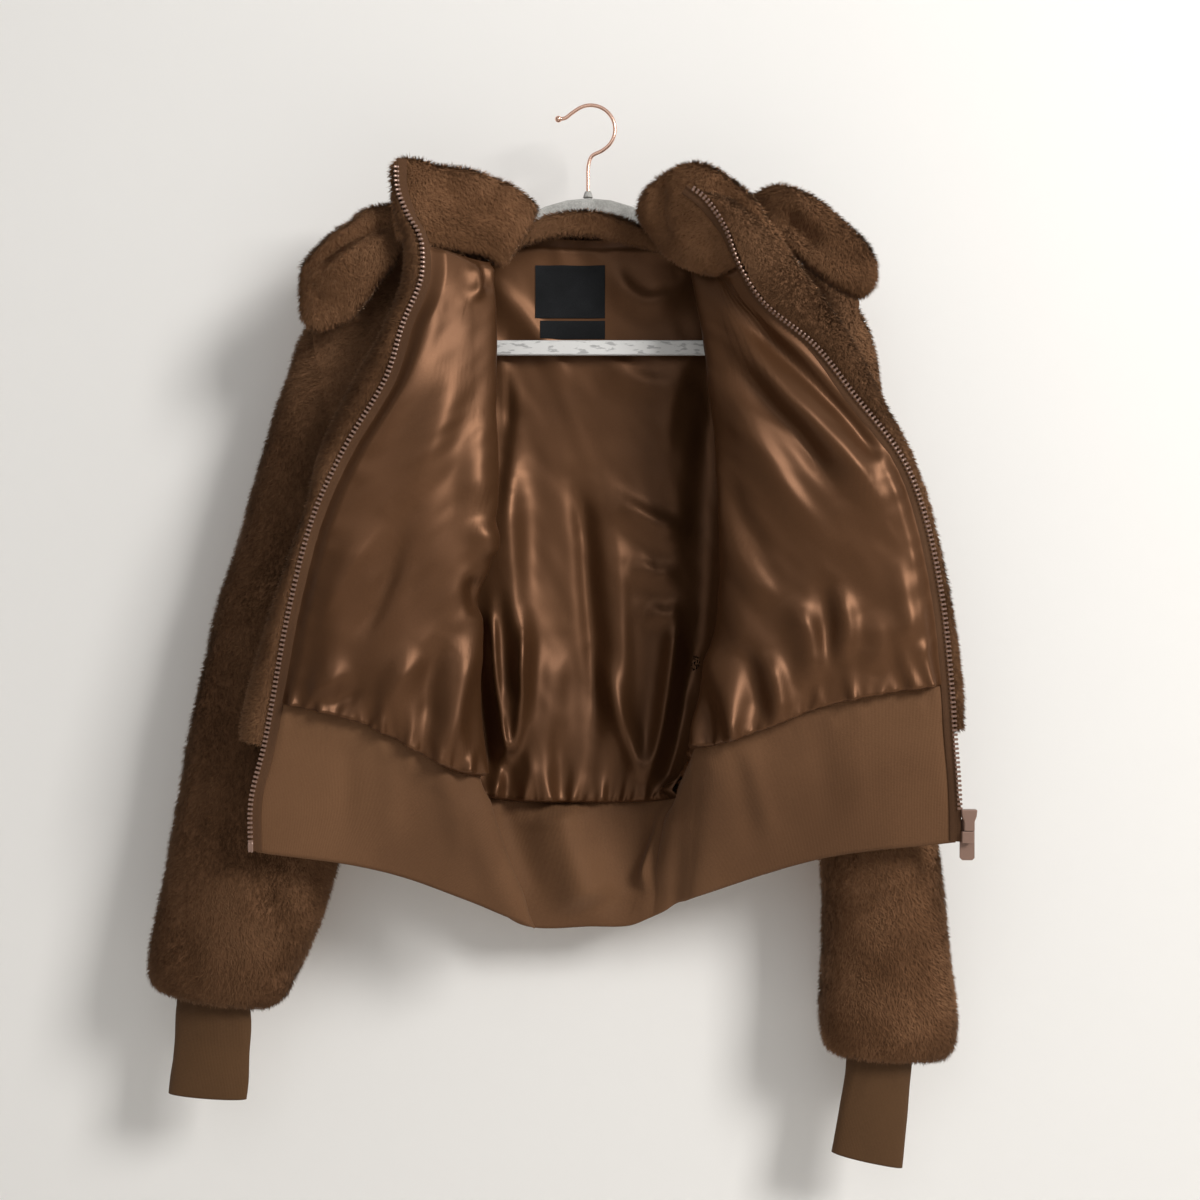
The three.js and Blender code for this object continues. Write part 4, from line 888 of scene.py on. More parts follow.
def band_points():
    points, out = (joined(parts) for parts in body_grids(band_levels, band_front, band_back))
    along = travelled(points, 1)
    level = band_levels[:, None] + 0 * along
    below = (level - 1) * BAND_TALL
    column = np.arange(points.shape[1])
    first, last = len(band_front) - 1, len(band_front) + len(band_back) - 4
    on_back = smoothstep(column, first, first + 14) * (1 - smoothstep(column, last - 14, last))
    height = folds(points, BAND_FOLDS) + folds(points, BAND_BACK_FOLDS) * on_back
    height += gathers(along, below, 11, 1.8, 12, seed=41)
    height += 0.8 * drift(along, below, 30, 42)
    height *= smoothstep(level, 1, 1.04)
    from_edge = np.minimum(along, along[:, -1:] - along)
    held = smoothstep(from_edge, TAPE_WIDTH - 4, TAPE_WIDTH)
    inner = points - out * ((height + 0.9) * held - 0.4)[..., None]
    wall = (BAND_WALL - 0.6) * smoothstep(level, 1, 1.08) * np.sqrt(np.clip(1 - (level - 1)**14, 0, 1))
    wall *= 0.3 + 0.7 * held
    outer = inner + out * (wall + 0.3)[..., None]
    return np.concatenate([inner, outer[::-1]], axis=0)


grid_piece("waistband_knit", "waistband", band_points(), rib_knit, "rib_knit", flip=True,
           flat=(0.82, 0.216), area=0.16, held="gathered", rests_on=["front_left_fur", "front_right_fur"])

# %% [markdown]
# ## Fur
#
# Faux fur is a knitted backing with a short, dense pile that leans down the garment. Two things
# make it read as fur: the soft edge, where single hairs stand against the light, and slow streaks
# of light and dark where a hand has brushed the pile over. Hair strands would vanish from an
# exported mesh, so each panel is a smooth shell plus one joined mesh of many thin tapered blades.
# Each blade takes its shading from the shell under it, so that the pile shines as one surface.

# %% A coat of pile on any grid
BLADE_LONG = 5.6
SHORT_TO_LONG = (0.65, 1.15)     # shares of that length
NARROW_TO_WIDE = (0.7, 1.3)      # a blade's width at its root
ROOT_SUNK = 0.8
BLADE_LEAN = 0.55      # radians from the cloth, and how much it varies
LEAN_VARIES = 0.16
TURN_VARIES = 0.5      # radians from the way that the pile is brushed
TWIST_VARIES = 0.6     # radians about the blade's own length
SWIRLS = ((0.8, 0.6, 0.7, 38), (0.45, -0.5, 1.0, 14))   # radians, y share, z share, size
SHINE_LEAN = 0.16      # how far a blade's shading turns along it, and how much to its side
SHINE_VARIES = 0.07


def grow_pile(name, points, out, count, seed, length=BLADE_LONG, nap=0.0, thick=None):
    """Tapered blades over a grid, most of them leaning the way that the pile is brushed.

    Its brightness shift is painted light where above 0 and painted shade where below, and thick says how much
    more pile each cell has.
    """
    random = np.random.default_rng(seed)
    a, b = points[:-1, :-1], points[:-1, 1:]
    c, d = points[1:, 1:], points[1:, :-1]
    area = np.linalg.norm(np.cross(c - a, d - b), axis=-1) / 2
    share = area if thick is None else area * thick
    share = (share / share.sum()).ravel()
    cell = random.choice(len(share), count, p=share)
    row, column = np.divmod(cell, points.shape[1] - 1)
    u, v = random.random((2, count))

    def blend(grid):
        return (grid[row, column] * ((1 - u) * (1 - v))[:, None]
                + grid[row, column + 1] * (u * (1 - v))[:, None]
                + grid[row + 1, column + 1] * (u * v)[:, None]
                + grid[row + 1, column] * ((1 - u) * v)[:, None])
    root, up = blend(points), unit(blend(out))
    fall = np.array([0, 0, -1.0])
    brush = unit(fall - up * (up @ fall)[:, None])
    side = np.cross(up, brush)
    turn = np.zeros(count)
    for k, (most, y_share, z_share, size) in enumerate(SWIRLS, 1):
        turn += most * drift(root[:, 0] + y_share * root[:, 1], root[:, 2] * z_share, size, seed + k)
    turn += random.normal(0, TURN_VARIES, count)
    way = brush * np.cos(turn)[:, None] + side * np.sin(turn)[:, None]
    across = np.cross(up, way)
    long = length * random.uniform(*SHORT_TO_LONG, count)
    tilt = np.clip(random.normal(BLADE_LEAN, LEAN_VARIES, count), 0.12, 1.3)
    tip = root + (way * np.cos(tilt)[:, None] + up * np.sin(tilt)[:, None]) * long[:, None]
    half = (random.uniform(*NARROW_TO_WIDE, count) / 2)[:, None]
    twist = random.normal(0, TWIST_VARIES, count)[:, None]
    edge = (across * np.cos(twist) + np.cross(way, across) * np.sin(twist)) * half
    sunk = root - up * ROOT_SUNK
    corners = np.stack([sunk + edge, sunk - edge, tip], axis=1)
    shine = unit(up + SHINE_LEAN * way * random.uniform(-0.5, 1.0, count)[:, None]
                 + across * random.normal(0, SHINE_VARIES, count)[:, None])
    mesh = bpy.data.meshes.new(name)
    mesh.vertices.add(count * 3)
    mesh.vertices.foreach_set("co", (corners * MM).astype(np.float32).ravel())
    mesh.loops.add(count * 3)
    mesh.loops.foreach_set("vertex_index", np.arange(count * 3, dtype=np.int32))
    mesh.polygons.add(count)
    mesh.polygons.foreach_set("loop_start", np.arange(0, count * 3, 3, dtype=np.int32))
    mesh.polygons.foreach_set("loop_total", np.full(count, 3, dtype=np.int32))
    mesh.update()
    uv = np.zeros((count, 3, 2), np.float32)
    # each piece's painted light and shade shifts the brightness of all its blades
    uv[:, :, 0] = random.random(count)[:, None] + nap
    uv[:, 2, 1] = 1
    mesh.uv_layers.new(name="cloth").data.foreach_set("uv", uv.ravel())
    mesh.polygons.foreach_set("use_smooth", [True] * count)
    mesh.normals_split_custom_set(np.repeat(shine, 3, axis=0).tolist())
    mesh.materials.append(pile)
    return on_body(in_scene(name, mesh))


def faces_inward(points, out, closed=False):
    """Whether a grid's own faces look the other way from given outward directions."""
    return (outward(points, 1, closed) * out).sum() < 0


def fur_piece(names, node, skin, out, count, seed, cloth, closed=False, **pile_look):
    """A backing shell in a node's place and the pile that stands on it. cloth, the sheet they are, is not
    used.
    """
    turned = faces_inward(skin, out, closed)
    shell = grid_piece(names[0], node, skin, fur_backing, "faux_fur", flip=not turned, closed=closed)
    hairs = grow_pile(names[1], skin, out, count, seed, **pile_look)


print("two swirls turn the pile, of", [size for *_, size in SWIRLS], "mm")

# %% Fur back
FUR_SKIN = 7.0    # the shell's outer face, out from the lining's line; the pile stands on it
FUR_INNER = 2.0
FUR_ROWS = 72
FUR_FOOT = 1.28   # the level of the fur's hem, below the waist seam
HEM_ROLL = [0.45, 0.8, 1.0]   # the hem rolls in to the band over three more rows
DEEPEST = -3.5    # no fold of the fur sinks further than this
fur_levels = np.concatenate([np.linspace(0, FUR_FOOT, FUR_ROWS), [FUR_FOOT] * len(HEM_ROLL)])
foot_share = np.concatenate([np.zeros(FUR_ROWS), HEM_ROLL])


def fur_skin_depth(levels):
    """How far the shell stands out: it blouses over the waistband."""
    bloused = FUR_SKIN + 2.6 * smoothstep(levels, 0.82, 1.04) - 1.4 * smoothstep(levels, 1.1, FUR_FOOT)
    return bloused + (BAND_WALL + 1.2 - bloused) * foot_share


def fur_folds(points, rows, seed):
    """Soft rolls of the thick cloth: hand-placed ones, and a slow unevenness."""
    height = folds(points, rows)
    height += 1.5 * drift(points[..., 0] + points[..., 1], points[..., 2] * 0.6, 55, seed)
    height += 0.6 * drift(points[..., 0] + points[..., 1], points[..., 2] * 0.8, 20, seed + 1)
    return height


SEAM_RISE = 9
SEAM_EASE = 2.5   # the front stands this much further out at the shoulder, to clear the hanger
ROUND = np.radians([84, 68, 50, 32, 16])   # the fur turns over its top edge in five rows


def over_the_seam(points, out, depth, angle):
    """A row of the fur's top edge, turned upward by an angle over the seam that it is sewn at."""
    return points + out * (depth * math.cos(angle)) + np.array([0, 0, SEAM_RISE * math.sin(angle)])


BACK_FUR_FOLDS = [
    (-2.5, 14, 18, [(-150, -230), (-120, -330), (-100, -430)]),
    (2.2, 20, 16, [(-60, -180), (-52, -300), (-40, -420), (-44, -540)], 0.3),
    (-2.5, 15, 18, [(10, -250), (4, -380), (12, -540)]),
    (2.2, 18, 18, [(64, -190), (58, -320), (48, -450), (40, -545)], 0.3),
    (-2.5, 14, 16, [(140, -240), (116, -340), (88, -450)]),
    (1.8, 14, 12, [(170, -200), (150, -280), (124, -380)]),
    (1.8, 12, 14, [(-180, -200), (-160, -290), (-130, -390)]),
]
fur_back_steps = np.linspace(0, 4, 90)
fur_front_steps = np.concatenate([np.linspace(0, 3.4, 60), np.linspace(3.4, 6, 36)[1:]])
fur_grids, fur_normals = body_grids(fur_levels[:FUR_ROWS], fur_front_steps, fur_back_steps)
for grids_of_fur in (fur_grids, fur_normals):
    for part, grid in grids_of_fur.items():
        grids_of_fur[part] = np.concatenate([grid] + [grid[-1:]] * len(HEM_ROLL))


def back_fur_points():
    points, out = fur_grids["back"], fur_normals["back"]
    edge = smoothstep(fur_back_steps, 0, 0.3) * (1 - smoothstep(fur_back_steps, 3.7, 4))
    height = fur_folds(points, BACK_FUR_FOLDS, 50) * edge[None, :] * (1 - foot_share[:, None])
    height = np.maximum(height, DEEPEST)
    skin = points + out * (fur_skin_depth(fur_levels)[:, None] + height)[..., None]
    top = [over_the_seam(points[0], out[0], FUR_SKIN, angle) for angle in ROUND]
    return np.concatenate([np.stack(top), skin])


BACK_BLADES, BACK_SEED = 68000, 60
skin = back_fur_points()
fur_piece(("fur_back", "fur_back_pile"), "back_fur", skin, outward(skin, OUT_SIGN["back"]),
          BACK_BLADES, BACK_SEED,
          {"flat": (0.46, 0.49), "area": 0.19, "held": "hung", "rests_on": ["hanger_frame"]})

# %% [markdown]
# ## Fur fronts
#
# Each front's fur shows as a soft roll past the zip. Its section starts on the inside at the zip,
# runs out to the edge, turns round it and comes back along the outside to the side seam, so one
# grid carries the pile round the edge.

# %% Directions along the zip
COLLAR_ACROSS = {"left": np.array([0.94, 0.33, 0]), "right": np.array([-0.62, 0.35, -0.7])}
TAPE_STEP = 0.1


def zip_frames(side, levels):
    """Places on the zip's line, and its directions down, across to the lining, and out."""
    at = line_at(ZIP_LINE, side, levels)
    down = unit(line_at(ZIP_LINE, side, levels + 0.02) - line_at(ZIP_LINE, side, levels - 0.02))
    near = front_surface(side, np.maximum(levels, 0), np.array([0, TAPE_STEP]))
    inward = unit(near[:, 1] - near[:, 0])
    inward = unit(inward + (COLLAR_ACROSS[side] - inward) * smoothstep(-levels, 0, 0.8)[:, None])
    across = unit(inward - down * (inward * down).sum(axis=-1, keepdims=True))
    return at, down, across, unit(np.cross(across, down)) * -SIDES[side]


for side in SIDES:
    print(side, "zip at the waist seam, in mm:", zip_frames(side, np.array([1.0]))[0][0].round(1))

# %% Fur fronts
LEFT_FUR_FOLDS = [
    (-3, 10, 14, [(-150, -240), (-190, -320), (-214, -420)]),
    (2.5, 14, 12, [(-170, -230), (-210, -310), (-236, -420)]),
]
RIGHT_FUR_FOLDS = [
    (3, 16, 12, [(150, -160), (190, -200), (226, -260)]),
    (-2.5, 12, 14, [(176, -170), (210, -220), (240, -290)]),
    (2, 12, 12, [(250, -330), (266, -400), (276, -470)]),
]
FRONT_FUR_FOLDS = {"left": LEFT_FUR_FOLDS, "right": RIGHT_FUR_FOLDS}
EDGE_SHARES = np.array([0, 0.12, 0.25, 0.4, 0.55, 0.7, 0.82, 0.91, 0.97])
EDGE_SWELL = 4.5   # the strip is rounded: it swells in the middle
EDGE_BACK = 9      # and falls back at its edge
FRONT_PAINTED_LIGHT_AND_SHADE = {"left": 0.0, "right": -0.7}   # painted shade: the right front's pile is a little darker
FRONT_SEED = {"left": 80, "right": 90}
FRONT_BLADES = 88000
FRONT_BLADE_LONG = 4.7
STRIP_PILE = 2.4   # the strip that shows has this much more pile than the rest of the front
TOP, TOP_END = -0.9, -0.04
TOP_LEVELS = np.linspace(TOP, TOP_END, 14)   # the strip past the zip runs on up the collar


def front_fur_points(side):
    """The fur's skin: the inner strip past the zip, the edge, and the outside to the side seam."""
    out_way = SIDES[side]
    levels = np.concatenate([TOP_LEVELS, fur_levels])
    from_zip = smoothstep(fur_front_steps, 0, 1.5)[None, :, None]
    top_out = zip_frames(side, TOP_LEVELS)[3][:, None]
    top_out = unit(top_out + from_zip * (fur_normals[side][:1] - top_out))
    points = np.concatenate([front_surface(side, TOP_LEVELS, fur_front_steps), fur_grids[side]])
    out = np.concatenate([top_out, fur_normals[side]])
    foot = np.concatenate([0 * TOP_LEVELS, foot_share])[:, None]
    depth = np.concatenate([FUR_SKIN + 0 * TOP_LEVELS, fur_skin_depth(fur_levels)])[:, None]
    past = np.maximum(value_at(ZIP_LINE, side + "Past", levels), 0)
    past = (past * smoothstep(levels, -0.98, -0.6))[:, None]
    step = unit(points[:, 0] - points[:, 3])
    sideways = np.array([out_way, 0.1, 0.15])
    mixed = unit(step + (1 - smoothstep(levels, 0.1, 0.4))[:, None] * (sideways - step))
    backward = unit(np.array([-0.3 * out_way, 1.0, -0.1]))
    sunk = np.array([0, 1.0, 0]) * (5 * (1 - smoothstep(levels, TOP, -0.3)))[:, None]

    def strip(share, depth_share):
        inset = FUR_INNER + (depth - FUR_INNER) * depth_share
        swell = EDGE_BACK * share**2.5 - EDGE_SWELL * math.sin(math.pi * min(share, 1))
        swell = swell * np.minimum(past / 20, 1)
        turned = smoothstep(np.array(share), 0, 0.3)
        thick_way = unit(out[:, 0] + (backward - out[:, 0]) * turned)
        return points[:, 0] + mixed * past * share + np.array([0, 1.0, 0]) * swell + sunk + thick_way * inset

    inner = [strip(share, 0.0) for share in EDGE_SHARES]
    edge = [strip(1.0 + 0.03 * math.sin(math.pi * t), t) for t in (0.12, 0.4, 0.7)]
    outside = [strip(share, 1.0 - 0.1 * share) for share in EDGE_SHARES[::-1][:-1]]
    height = fur_folds(points, FRONT_FUR_FOLDS[side], 70)
    calm = smoothstep(fur_front_steps, 0, 0.8) * (1 - smoothstep(fur_front_steps, 5.5, 6))
    height = np.maximum(height * calm[None, :] * (1 - foot), DEEPEST)
    height *= smoothstep(levels, TOP_END, 0.06)[:, None]
    body = points + out * (depth + height)[..., None]
    seam = smoothstep(fur_front_steps, 4.4, 5)[:, None]
    eased = SEAM_EASE * smoothstep(levels, TOP_END, 0) * (1 - smoothstep(levels, 0, 0.15))
    body += out * (eased[:, None] * seam[:, 0])[..., None]
    for row, angle in enumerate(np.interp(TOP_LEVELS, [TOP, TOP_END], [ROUND[0], 0.1])):
        turned = over_the_seam(fur_grids[side][0], fur_normals[side][0], FUR_SKIN + SEAM_EASE, angle)
        body[row] += seam * (turned - body[row])
    columns = inner + edge + outside
    return np.concatenate([np.stack(columns, axis=1), body], axis=1), len(columns)


for side in SIDES:
    skin, strip_columns = front_fur_points(side)
    thick = np.where(np.arange(skin.shape[1] - 1) < strip_columns, STRIP_PILE, 1.0)
    fur_piece((f"fur_front_{side}", f"fur_front_{side}_pile"), f"front_{side}_fur", skin,
              outward(skin, OUT_SIGN[side]), FRONT_BLADES, FRONT_SEED[side],
              {"flat": (0.36, 0.49), "area": 0.15, "held": "hung", "rests_on": ["hanger_frame"]},
              length=FRONT_BLADE_LONG, nap=FRONT_PAINTED_LIGHT_AND_SHADE[side], thick=thick)

# %% [markdown]
# ## Sleeves and cuffs
#
# The sleeves hang as soft, flattened tubes. Each is worked out from a few flat widths: the outer
# end of each width starts at the shoulder's end, the inner one at the underarm, and the first
# ring is the armhole itself. Gathers and rolls are laid on the tube before the pile is grown. The
# cuffs are ribbed tubes, doubled over at the wrist like the waistband.

# %% Sleeve tables
RING_COLUMNS = "outerX outerZ innerX innerZ y deep"
SLEEVES = {
    "left": table(RING_COLUMNS, [
        (-227, -192, -186, -397, 1, 27), (-241, -245, -190, -420, 0, 32),
        (-262, -325, -189, -452, -2, 35), (-287, -402, -186, -492, -4, 36),
        (-304, -480, -188, -540, -6, 36), (-317, -556, -199, -590, -8, 36),
        (-329, -622, -213, -638, -10, 35), (-339, -678, -232, -686, -12, 33),
        (-336, -697, -245, -710, -13, 24), (-324, -702, -262, -712, -14, 12)]),
    "right": table(RING_COLUMNS, [
        (227, -187, 186, -398, 1, 27), (234, -241, 190, -424, 0, 32),
        (242, -326, 190, -460, -1, 35), (252, -408, 189, -508, -2, 36),
        (262, -488, 190, -560, -3, 36), (272, -568, 194, -612, -4, 36),
        (280, -648, 195, -666, -5, 36), (288, -730, 193, -730, -6, 34),
        (283, -752, 199, -750, -6, 24), (264, -755, 207, -752, -6, 12)]),
}
CUFFS = {
    "left": table(RING_COLUMNS, [
        (-322, -698, -264.5, -707, -14, 10), (-325, -740, -264, -745, -14, 10),
        (-330, -784, -267, -789, -14, 9)]),
    "right": table(RING_COLUMNS, [
        (261.5, -750, 209.5, -747, -6, 10), (257, -797, 203, -791, -6, 10),
        (253, -846, 196, -833, -6, 9)]),
}
ARMHOLE_LEVELS = [0, 0.05, 0.11, 0.18, 0.27, 0.36, 0.46, 0.55]
PAST_ARMHOLE = 0.66
SEAM_LAP = 2.5   # the sleeve's edge lies this far over the body's edge, so that the seam is closed
RING_POINTS = 2 * (len(ARMHOLE_LEVELS) - 1)
print("ring points:", RING_POINTS)

# %% Rings and tubes


def away_from_middle(points):
    """Directions out of a closed grid: away from the middle of each of its rings."""
    out = outward(points, 1, closed=True)
    from_middle = points - points.mean(axis=1, keepdims=True)
    return -out if (out * from_middle).sum() < 0 else out


def oval_rings(rows, grow):
    """One flattened ring for each row of flat widths, grown outward by so many millimetres."""
    outer = np.stack([rows["outerX"], rows["y"], rows["outerZ"]], axis=-1)
    inner = np.stack([rows["innerX"], rows["y"], rows["innerZ"]], axis=-1)
    middle, reach = (outer + inner) / 2, (outer - inner) / 2
    reach = unit(reach) * (np.linalg.norm(reach, axis=-1, keepdims=True) + grow)
    angle = 2 * np.pi * np.arange(RING_POINTS) / RING_POINTS
    rings = middle[:, None] + reach[:, None] * np.cos(angle)[None, :, None]
    rings[..., 1] -= (rows["deep"] + grow)[:, None] * np.sin(angle)[None]
    return rings


def armhole_ring(side, thick):
    """From the shoulder's end down the front's edge to the underarm, and up the back's edge."""
    levels = np.array(ARMHOLE_LEVELS + [PAST_ARMHOLE])
    grids = body_grids(levels, np.array([5, 5 + 2 / 3, 6]), np.array([0, 1 / 3, 3 + 2 / 3, 4]))[0]
    dense = body_grids(np.linspace(0, PAST_ARMHOLE, 60), np.linspace(5, 6, 12), np.linspace(0, 4, 48))[1]
    at = np.round(levels[:-1] / PAST_ARMHOLE * 59).astype(int)
    level = levels[:-1]
    drop = smoothstep(level, 0.3, UNDERARM)[:, None]
    cap = (1 - smoothstep(level, 0, 0.07))[:, None]   # the sleeve's head laps over the shoulder seam

    def edge(points, normal, end, inward):
        away = unit(points[:-1, end] - points[:-1, inward])
        depth = (FUR_INNER + 9.6 * drop) * (1 - 0.75 * cap)
        near = points[:-1, end] + away * (-SEAM_LAP - 4 * cap) + normal * depth
        near += np.array([0, 0, SEAM_RISE]) * cap
        through_wall = unit(normal + drop * (np.array([0, 0, -1.0]) - normal))
        return near + through_wall * thick * (1 - 0.75 * cap)
    back_end, back_in, back_side = (0, 1, 0) if side == "left" else (3, 2, -1)
    front = edge(grids[side], dense[side][at, -1], 2, 1)
    back = edge(grids["back"], dense["back"][at, back_side], back_end, back_in)
    return np.concatenate([front, back[1:-1][::-1]])


def tube(rings, rows, columns):
    """A dense closed grid through rings of points. Its last column repeats its first."""
    around = np.concatenate([rings[:, -1:], rings, rings[:, :2]], axis=1)
    around = through(around, np.linspace(1, rings.shape[1] + 1, columns))
    return through(around.transpose(1, 0, 2), np.linspace(0, rings.shape[0] - 1, rows)).transpose(1, 0, 2)


print("armhole rings:", [len(armhole_ring(side, 0)) for side in SIDES], "points")

# %% Sleeves
SLEEVE_FRONT_FOLDS = {
    "left": [
        (3.5, 12, 16, [(-236, -200), (-252, -260), (-268, -330)]),
        (-4, 10, 13, [(-214, -300), (-232, -380), (-244, -460)]),
        (3, 14, 12, [(-232, -420), (-250, -500), (-262, -580)]),
        (-3.5, 12, 14, [(-292, -470), (-300, -540), (-306, -610)]),
        (-7, 9, 15, [(-242, -608), (-236, -640), (-232, -680), (-240, -702)], 0.3),
        (4, 12, 12, [(-262, -600), (-258, -650), (-262, -700)]),
        (-3, 9, 11, [(-300, -640), (-304, -670), (-300, -704)]),
        (3, 9, 12, [(-214, -560), (-218, -620), (-226, -670)]),
        (-3, 10, 10, [(-204, -480), (-206, -530), (-212, -580)], 0.4),
    ],
    "right": [
        (-3.5, 12, 13, [(222, -560), (220, -640), (224, -730)]),
        (3, 13, 12, [(246, -560), (248, -640), (246, -730)]),
        (-3, 10, 12, [(268, -600), (272, -670), (270, -740)]),
        (-4, 9, 12, [(206, -640), (208, -690), (212, -745)]),
        (3, 12, 12, [(232, -300), (240, -400), (246, -500)]),
    ],
}
SLEEVE_BACK_FOLDS = {
    "left": [
        (3.5, 14, 16, [(-240, -230), (-256, -320), (-264, -420)]),
        (-4, 12, 13, [(-222, -300), (-238, -400), (-250, -500)]),
        (3.5, 13, 14, [(-230, -480), (-250, -560), (-262, -650)]),
        (-5, 10, 14, [(-284, -560), (-292, -630), (-290, -700)], 0.3),
        (3, 12, 12, [(-300, -480), (-312, -560), (-318, -640)]),
    ],
    "right": [
        (3.5, 14, 15, [(228, -230), (238, -330), (244, -430)]),
        (-4, 12, 13, [(212, -320), (220, -430), (226, -540)]),
        (3.5, 13, 14, [(250, -470), (256, -560), (258, -650)]),
        (-5, 10, 14, [(236, -600), (232, -670), (236, -745)], 0.3),
        (3, 12, 12, [(268, -560), (276, -640), (276, -720)]),
    ],
}
PILE_REACH = 4.0   # how far the pile stands above its shell
FUR_WALL = 9
SLEEVE_LONG = 560
SLEEVE_ROUND = 400
# painted shade on the left sleeve, which is away from the key light, and painted light on the right one
SLEEVE_PAINTED_LIGHT_AND_SHADE = {"left": -0.8, "right": 0.6}
SLEEVE_SEED = {"left": 130, "right": 140}
SLEEVE_BLADES = 95000


def sleeve_points(side):
    grown = FUR_WALL - PILE_REACH
    ovals = oval_rings(SLEEVES[side], grown)
    tucked = oval_rings(SLEEVES[side], -1)[-1:] + np.array([0, 0, 5.0])
    rings = np.concatenate([armhole_ring(side, grown)[None], ovals, tucked])
    points = tube(rings, 110, 81)
    out = away_from_middle(points)
    facing = smoothstep(-out[..., 1], -0.1, 0.4)
    own = len(side)   # each sleeve has seeds of its own
    height = folds(points, SLEEVE_FRONT_FOLDS[side]) * facing
    height += folds(points, SLEEVE_BACK_FOLDS[side]) * (1 - facing)
    height += 1.6 * drift(points[..., 0] + 2 * points[..., 1], points[..., 2] * 0.5, 42, 100 + own)
    height += 0.8 * drift(points[..., 0] + 2 * points[..., 1], points[..., 2] * 0.7, 17, 110 + own)
    row = np.linspace(0, 1, len(points))[:, None]
    around = np.linspace(0, SLEEVE_ROUND, points.shape[1])[None] + 0 * row
    height += gathers(around, (1 - row) * SLEEVE_LONG + 0 * around, 26, 3.5, 34, seed=120 + own)
    height *= smoothstep(row, 0, 0.1) * (1 - smoothstep(row, 0.95, 0.995))
    return points + out * height[..., None], unit(out)


for side in SIDES:
    skin, out = sleeve_points(side)
    fur_piece((f"sleeve_{side}_fur", f"sleeve_{side}_pile"), f"sleeve_{side}", skin, out, SLEEVE_BLADES,
              SLEEVE_SEED[side], {"flat": (0.34, 0.60), "area": 0.15, "held": "hung"},
              closed=True, nap=SLEEVE_PAINTED_LIGHT_AND_SHADE[side])

# %% Cuffs
CUFF_WALL = 3
CUFF_LONG = 90
CUFF_ROUND = 140


def cuff_points(side):
    """Outside from top to foot, round the foot, and back up the inside."""
    outer = tube(oval_rings(CUFFS[side], -0.6), 40, 81)
    out = away_from_middle(outer)
    row = np.linspace(0, 1, len(outer))[:, None]
    around = np.linspace(0, CUFF_ROUND, outer.shape[1])[None] + 0 * row
    along = row * CUFF_LONG + 0 * around
    height = gathers(around, along, 12, 1.4, 30, seed=150 + len(side))
    height += 0.9 * drift(around, along, 26, 160 + len(side))
    outer = outer + out * np.minimum(height, 1.2)[..., None]
    wall = CUFF_WALL * 0.8 * np.sqrt(np.clip(1 - row**12, 0, 1)) + 0.15
    inner = outer - out * wall[..., None]
    return np.concatenate([outer, inner[::-1]])


for side in SIDES:
    grid_piece(f"cuff_{side}_knit", f"cuff_{side}", cuff_points(side), cuff_knit_painted_shade, "rib_knit", closed=True,
               flat=(0.15, 0.19), area=0.025, held="hung")

# %% [markdown]
# ## The collar
#
# The collar is a strip of fur folded over, so it stands as a padded roll. Its low and high edges
# and its thickness are given at a few places along it, and every section between is a rounded
# rectangle. The outer part turns down, with a rounded end in front of each shoulder.

# %% Collar tables
ROLL_COLUMNS = "lowX lowY lowZ highX highY highZ thick"
ROLLS = {
    "collar_left": table(ROLL_COLUMNS, [
        (-141, -64, -122, -149, -61, -59, 9), (-127, -63, -124, -139, -58, -53, 13),
        (-110, -54, -126, -114, -48, -57, 15), (-93, -45, -127, -89, -38, -58, 16),
        (-80, -34, -127, -66, -27, -64, 17), (-72, -26, -131, -50, -20, -69, 17),
        (-67, -20, -131, -40, -16, -77, 16), (-63, -16, -127, -36, -14, -82, 14)]),
    "collar_back": table(ROLL_COLUMNS, [
        (-74, -9, -119, -66, -10, -106, 8), (-58, -9, -117, -50, -11, -98, 10),
        (-42, -9, -111, -34, -14, -90, 12),
        (-12, -9, -105, -8, -15, -83, 14), (14, -9, -107, 16, -15, -85, 14),
        (42, -9, -113, 42, -14, -95, 12), (64, -9, -119, 62, -12, -102, 11),
        (88, -9, -127, 84, -12, -112, 9)]),
    "collar_right": table(ROLL_COLUMNS, [
        (166, -73, -148, 125, -70, -86, 13), (145, -72, -144, 102, -68, -68, 19),
        (120, -69, -146, 82, -66, -60, 21), (99, -59, -147, 63, -61, -64, 20),
        (83, -46, -139, 48, -47, -73, 19), (72, -32, -129, 43, -31, -82, 17),
        (66, -22, -121, 42, -20, -88, 14)]),
    "collar_fall": table(ROLL_COLUMNS, [
        (-217, -49, -180, -218, -49, -134, 12), (-208, -49, -188, -207, -49, -122, 20),
        (-194, -49, -186, -194, -49, -111, 22), (-181, -49, -179, -182, -48, -102, 22),
        (-168, -48, -164, -169, -46, -90, 21), (-152, -45, -142, -153, -42, -85, 20),
        (-133, -37, -112, -132, -34, -80, 18), (-112, -14, -92, -110, -14, -74, 16),
        (-94, 14, -92, -88, 10, -74, 15), (-82, 36, -118, -64, 26, -80, 14),
        (-46, 44, -158, -40, 33, -88, 14), (6, 47, -170, 6, 35, -90, 14),
        (58, 44, -158, 52, 33, -88, 14), (90, 36, -118, 74, 26, -78, 14),
        (100, 14, -90, 96, 10, -71, 15), (114, -14, -90, 114, -14, -70, 16),
        (132, -36, -108, 131, -33, -76, 18), (149, -45, -118, 148, -42, -70, 21),
        (165, -48, -133, 167, -47, -76, 24), (182, -49, -147, 187, -48, -90, 24),
        (199, -49, -158, 204, -49, -104, 24), (213, -49, -163, 217, -49, -117, 22),
        (224, -49, -156, 225, -49, -131, 14)]),
}
